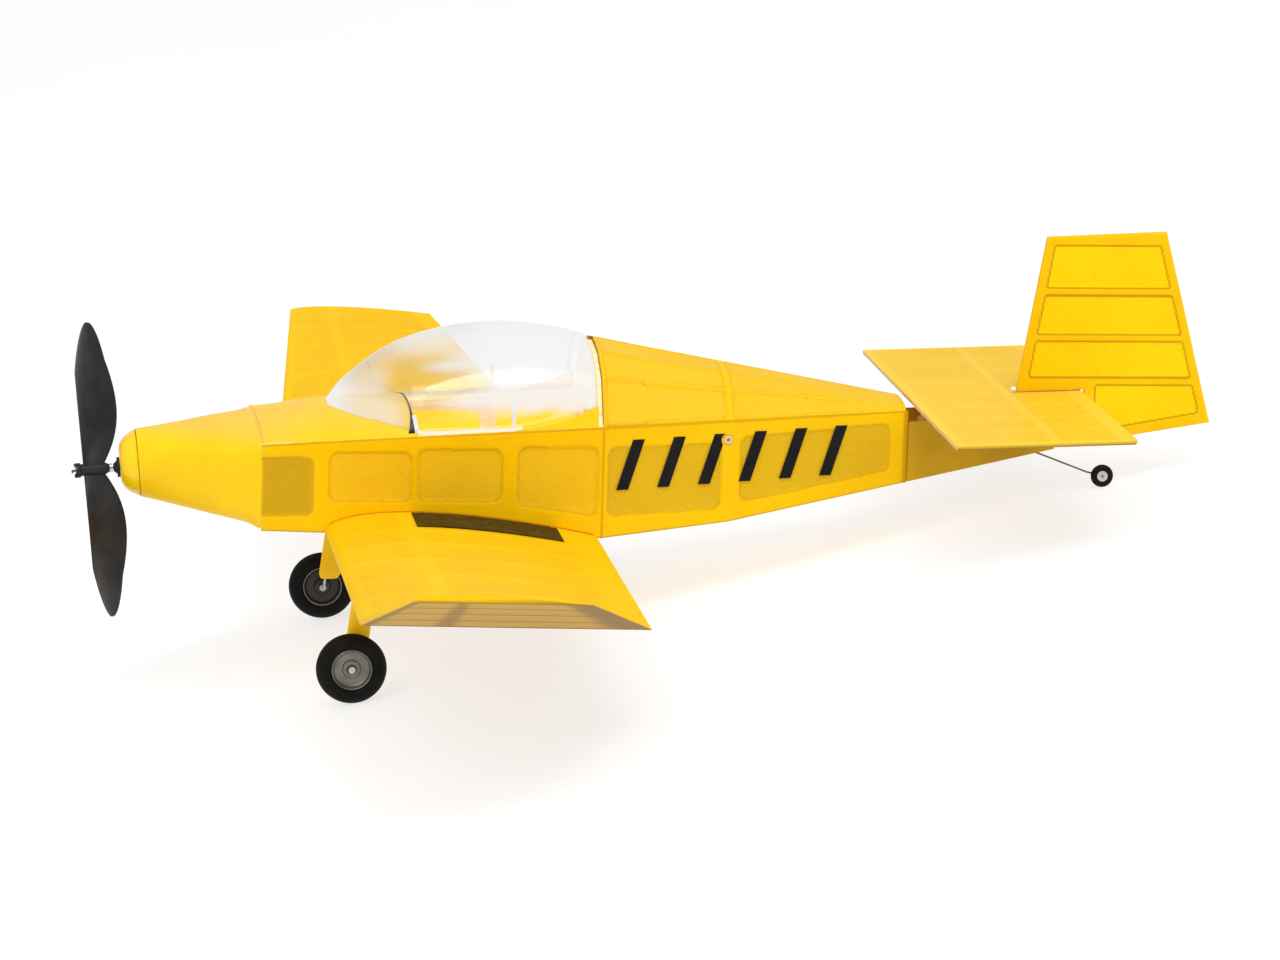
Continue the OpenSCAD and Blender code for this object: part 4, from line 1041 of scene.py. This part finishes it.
def make_windscreen_edge():
    """A dark coaming along the deck's rear edge, widest at the sides, with a white edging behind it."""
    deck_tree = tree("front_deck")
    rear_x = vertices("front_deck")[:, 0].max()
    half = side_y(rear_x) - 2.4
    dark, white = [], []
    for t in np.linspace(-1, 1, 61):
        y = half * math.sin(t * math.pi / 2)
        wide = 0.7 + 3.2 * abs(math.sin(t * math.pi / 2)) ** 3
        dark.append([(x, y, shot(deck_tree, (min(x, rear_x - 0.1), y, 90), (0, 0, -1)).z + 0.12)
                     for x in (rear_x - 0.4 - wide, rear_x - 0.4)])
        white.append(((rear_x - 0.1, y, dark[-1][1][2] - 0.1), (0, 0.0, 1), (1, 0, 0)))
    sheet("deck_coaming", dark, M_INK, (rear_x - 3, 0, -60), (), 40, 0.1)
    strap("deck_edging", [white[:18], white[-18:]], 1.9, 0.7)


RAIL_X = (141.5, 197)
POST_X, POST_INSET, POST_TOP = 190.5, 0.9, 44.0
HOOP_X, HOOP_INSET = 229.2, 0.6
HOOP_CENTRE_Z = 30.0


def hoop_path(x, inset):
    """A path round the inside of the canopy at x."""
    path = []
    for p in CANOPY[np.argmin(np.abs(CANOPY[:, 0, 0] - x))]:
        out = np.array([0, p[1], p[2] - HOOP_CENTRE_Z])
        out /= np.linalg.norm(out)
        path.append((np.array([x, p[1], p[2]]) - out * (inset + 0.5), out, (1, 0, 0)))
    return path


def make_canopy_trim():
    """White base rails along the sills, a short post at the end of each rail, and the rear hoop."""
    rails = []
    for j, sign in ((0, 1), (-1, -1)):
        feet = [p for p in CANOPY[::2, j] if RAIL_X[0] < p[0] < RAIL_X[1]]
        rails.append([([x, y - 0.45 * sign, z + 0.4], (0, sign, 0), (0, 0, 1)) for x, y, z in feet])
    strap("canopy_rails", rails, 1.7, 0.6)
    post = hoop_path(POST_X, POST_INSET)
    hoops = [[rib for rib in post if rib[0][1] * sign > 0 and rib[0][2] < POST_TOP] for sign in (1, -1)]
    hoops.append(hoop_path(HOOP_X, HOOP_INSET))
    strap("canopy_hoops", hoops, 1.8, 0.5, ["canopy_frame"])
    make_windscreen_edge()


make_canopy_trim()


# ---- Propeller ----
PITCH, BLADE_CHORD, WIDEST, BLADE_X, TIP_ROUNDING = 215.0, 28.0, 0.62, -18.0, 0.7
ROOT_THICK, TIP_THICK, CAMBER, ROOT_RADIUS = 2.4, 0.9, 0.06, 2
REST_ANGLE = math.radians(24)


def blade_width(s):
    """The blade's chord at a fraction s of its radius."""
    if s < WIDEST:
        return BLADE_CHORD * (0.32 + 0.68 * math.sin(math.pi / 2 * s / WIDEST))
    return max(BLADE_CHORD * math.sqrt(max(1 - ((s - WIDEST) / (1 - WIDEST)) ** 2.2, 0)), 0.5)


def blade(radius, stations=56):
    """Loops of points round one twisted blade, standing up from the hub."""
    tip, rows = radius - 0.05, []
    for i in range(stations + 1):
        r = ROOT_RADIUS + (tip - ROOT_RADIUS) * math.sin(math.pi / 2 * i / stations)
        s = r / tip
        wide, thick = blade_width(s), ROOT_THICK + (TIP_THICK - ROOT_THICK) * s
        a = math.atan(PITCH / (2 * math.pi * r))
        near = min(s, TIP_ROUNDING)
        near_angle = math.atan(PITCH / (2 * math.pi * near * radius))
        mid = BLADE_X + blade_width(near) * math.sin(near_angle) / 2
        row = []
        for q in circle(28):
            u = math.cos(q) * wide / 2
            v = math.sin(q) * thick / 2 + CAMBER * wide * (1 - math.cos(q) ** 2)
            row.append((mid - v * math.cos(a) + u * math.sin(a), -u * math.cos(a) - v * math.sin(a), r))
        rows.append(row)
    return np.array(rows)


def make_propeller():
    """Two blades and a bored hub with a notch across its front, in one moulding."""
    prop = lean(vertices("propeller"), -1)
    reach = np.hypot(prop[:, 1], prop[:, 2])
    hub = prop[reach < 4]
    front, back = hub[:, 0].min(), hub[:, 0].max()
    upper = blade(reach.max())
    profile = [(front + 0.25, 0.66), (front, 1.0), (front, 2.0), (front, 3.3), (front + 0.35, 3.65),
               (front + 2.9, 3.7), (front + 3.2, 3.4), (front + 3.4, 3.0), (back - 3.2, 3.0),
               (back - 2.0, 2.9), (back, 1.9), (back, 0.66)]
    rings = []
    for x, r in profile:
        loop = [(r * math.cos(a), r * math.sin(a)) for a in circle(72)]
        rings.append([(max(x, front + max(0.0, 1 - abs(z) / 2.6) * 2.1), y, z) for y, z in loop])
    points, faces = joined([upper, upper * (1, -1, -1)], [rings])
    c, s = math.cos(REST_ANGLE), math.sin(REST_ANGLE)
    points = [(x, y * c + z * s, -y * s + z * c) for x, y, z in points]
    piece("propeller_moulding", lean(points), faces, M_BLACK, "propeller_group", ["propeller"], 40)


make_propeller()


# ---- Undercarriage ----
def make_fairings():
    """The fairings over the legs: slimmer aft in section, and rounded in at the lower edge."""
    points = vertices("gear_fairings")
    for sign, name in ((1, "gear_fairing_right"), (-1, "gear_fairing_left")):
        side = points[points[:, 1] * sign > 0]
        ends = []
        for z in (side[:, 2].min(), side[:, 2].max()):
            level = side[np.abs(side[:, 2] - z) < 0.3]
            middle, size = (level.max(0) + level.min(0)) / 2, (level.max(0) - level.min(0)) / 2
            ends.append(np.array([middle, size, [z] * 3]))
        rows = []
        for t in np.linspace(0, 1, 25):
            middle, size, (z, *_) = ends[0] + (ends[1] - ends[0]) * t
            ease = math.sqrt(max(1 - (1 - min(t / 0.05, 1)) ** 2 * 0.4, 0))
            rows.append([(middle[0] + math.cos(a) * size[0] * ease,
                          middle[1] + math.sin(a) * size[1] * 0.98 * (1 - 0.3 * math.cos(a)) * ease, z)
                         for a in circle(40)])
        piece(name, *joined([rows]), M_COWL, "fuselage", ["gear_fairings"], 50)


make_fairings()


TREAD_ANGLE = 0.86 * math.pi / 1.35


def make_wheel(side, sign):
    """A ribbed tyre and a turned hub, whose inboard face is darkened with painted shadow."""
    tyre = vertices(f"tyre_{side}")
    middle = (tyre.max(0) + tyre.min(0)) / 2
    radius = (tyre[:, 2].max() - tyre[:, 2].min()) / 2
    half = (tyre[:, 1].max() - tyre[:, 1].min()) / 2
    hub_r = np.hypot(tyre[:, 0] - middle[0], tyre[:, 2] - middle[2]).min()
    body = f"{side}_wheel"
    profile = [(-half * 0.72, hub_r + 0.02)]
    for a in np.linspace(-TREAD_ANGLE, TREAD_ANGLE, 41):
        tread = 0.07 * math.cos(20 * a) if abs(a) < 0.8 else 0
        profile.append((half * math.sin(a), radius - half + (half - 0.08) * math.cos(a) + tread))
    profile.append((half * 0.72, hub_r + 0.02))
    lathe(f"tyre_{side}_moulded", profile, M_TYRE, body, middle, "y", [f"tyre_{side}"], 128, 50, True)
    bore = 0.75
    face = [(-3.3, bore), (-3.3, 3.2), (-3.0, 3.9), (-2.2, 4.4), (-1.9, 5.0), (-1.8, 8.3), (-2.4, 8.9),
            (-3.5, 9.3), (-3.9, 9.6), (-3.9, hub_r), (3.9, hub_r), (4.1, 9.7), (3.9, 9.3), (3.2, 8.9),
            (2.2, 8.6), (1.6, 7.6), (1.25, 5.4), (1.5, 4.6), (2.3, 4.2), (2.5, 3.7), (2.5, 2.5), (2.0, 1.9),
            (1.8, bore)]
    # Painted shadow on the hub's inboard face.
    dark = [1.0 if x < 0 and r < 9.2 else 0.0 for x, r in face]
    profile = [(x * sign, r) for x, r in face]
    lathe(f"hub_{side}_turned", profile, M_HUB, body, middle, "y", [f"hub_{side}"], 96, 30, True,
          {"dark": dark})


make_wheel("left", -1)
make_wheel("right", 1)


# ---- Rubber motor ----
STRANDS, TWISTS, STRAND_RADIUS = 6, 4.5, 0.95


def make_motor():
    """Twisted rubber strands from the propeller's hook to the rear peg."""
    skein = vertices("rubber_motor")
    front, end = skein[:, 0].min(), skein[:, 0].max()
    head = skein[np.abs(skein[:, 0] - front) < 0.3].mean(0)
    tail = skein[np.abs(skein[:, 0] - end) < 0.8].mean(0)
    section = np.array([(0, math.cos(q), math.sin(q)) for q in circle(8)]) * STRAND_RADIUS
    tubes = []
    for n in range(STRANDS):
        rows = []
        for t in np.linspace(0, 1, 151):
            a = 2 * math.pi * (n / STRANDS + TWISTS * t)
            gather = 1.9 * (0.75 + 0.25 * math.sin(math.pi * t))
            center = head + (tail - head) * t + np.array([0, math.cos(a), math.sin(a)]) * gather
            rows.append(center + section)
        tubes.append(rows)
    made = piece("rubber_skein", *joined(tubes), M_RUBBER, None, (), 60)
    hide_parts("rubber_motor")
    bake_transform(made)


make_motor()


# ---- Light and floor ----
def area_light(name, place, aim, size, power, color=(1, 1, 1)):
    data = bpy.data.lights.new(name, "AREA")
    data.shape = "RECTANGLE"
    data.size, data.size_y = size
    data.energy = power
    data.color = color
    made = added(name, data)
    made.location = place
    made.rotation_euler = (Vector(aim) - Vector(place)).to_track_quat("-Z", "Y").to_euler()


FLOOR_HALF, FLOOR_GLOW, STUDIO_LIGHT = 60, 0.7, 0.72


def make_stage():
    """Soft lights on the port side, a white studio all round and a pale floor."""
    area_light("key", (-1.0, -1.6, 2.4), (0, 0, 0.1), (2.0, 2.0), 22, (1, 0.985, 0.96))
    area_light("top", (0.9, -1.4, 2.65), (0, 0, 0.1), (1.8, 1.0), 32)
    area_light("fill", (1.8, -2.4, 1.0), (0, 0, 0.1), (1.6, 1.2), 9)
    studio = bpy.data.worlds.new("studio")
    studio.use_nodes = True
    put(studio.node_tree.nodes["Background"], {"Color": (1, 1, 1, 1), "Strength": STUDIO_LIGHT})
    bpy.context.scene.world = studio
    mesh = bpy.data.meshes.new("floor")
    corners = [(x * FLOOR_HALF, y * FLOOR_HALF, 0) for x, y in ((-1, -1), (1, -1), (1, 1), (-1, 1))]
    mesh.from_pydata(corners, [], [(0, 1, 2, 3)])
    floor = added("floor", mesh)
    material, t, shader = principled("floor")
    cloud = noise(t, 3, 3)
    color = ramp(t, cloud, [(0.3, (0.32, 0.32, 0.33)), (0.7, (0.34, 0.34, 0.35))])
    t.links.new(color, shader.inputs["Base Color"])
    put(shader, {"Emission Color": (1, 1, 1, 1), "Emission Strength": FLOOR_GLOW,
                 "Specular IOR Level": 0.1, "Roughness": 0.9})
    mesh.materials.append(material)


make_stage()
bpy.context.scene.view_settings.view_transform = "Standard"
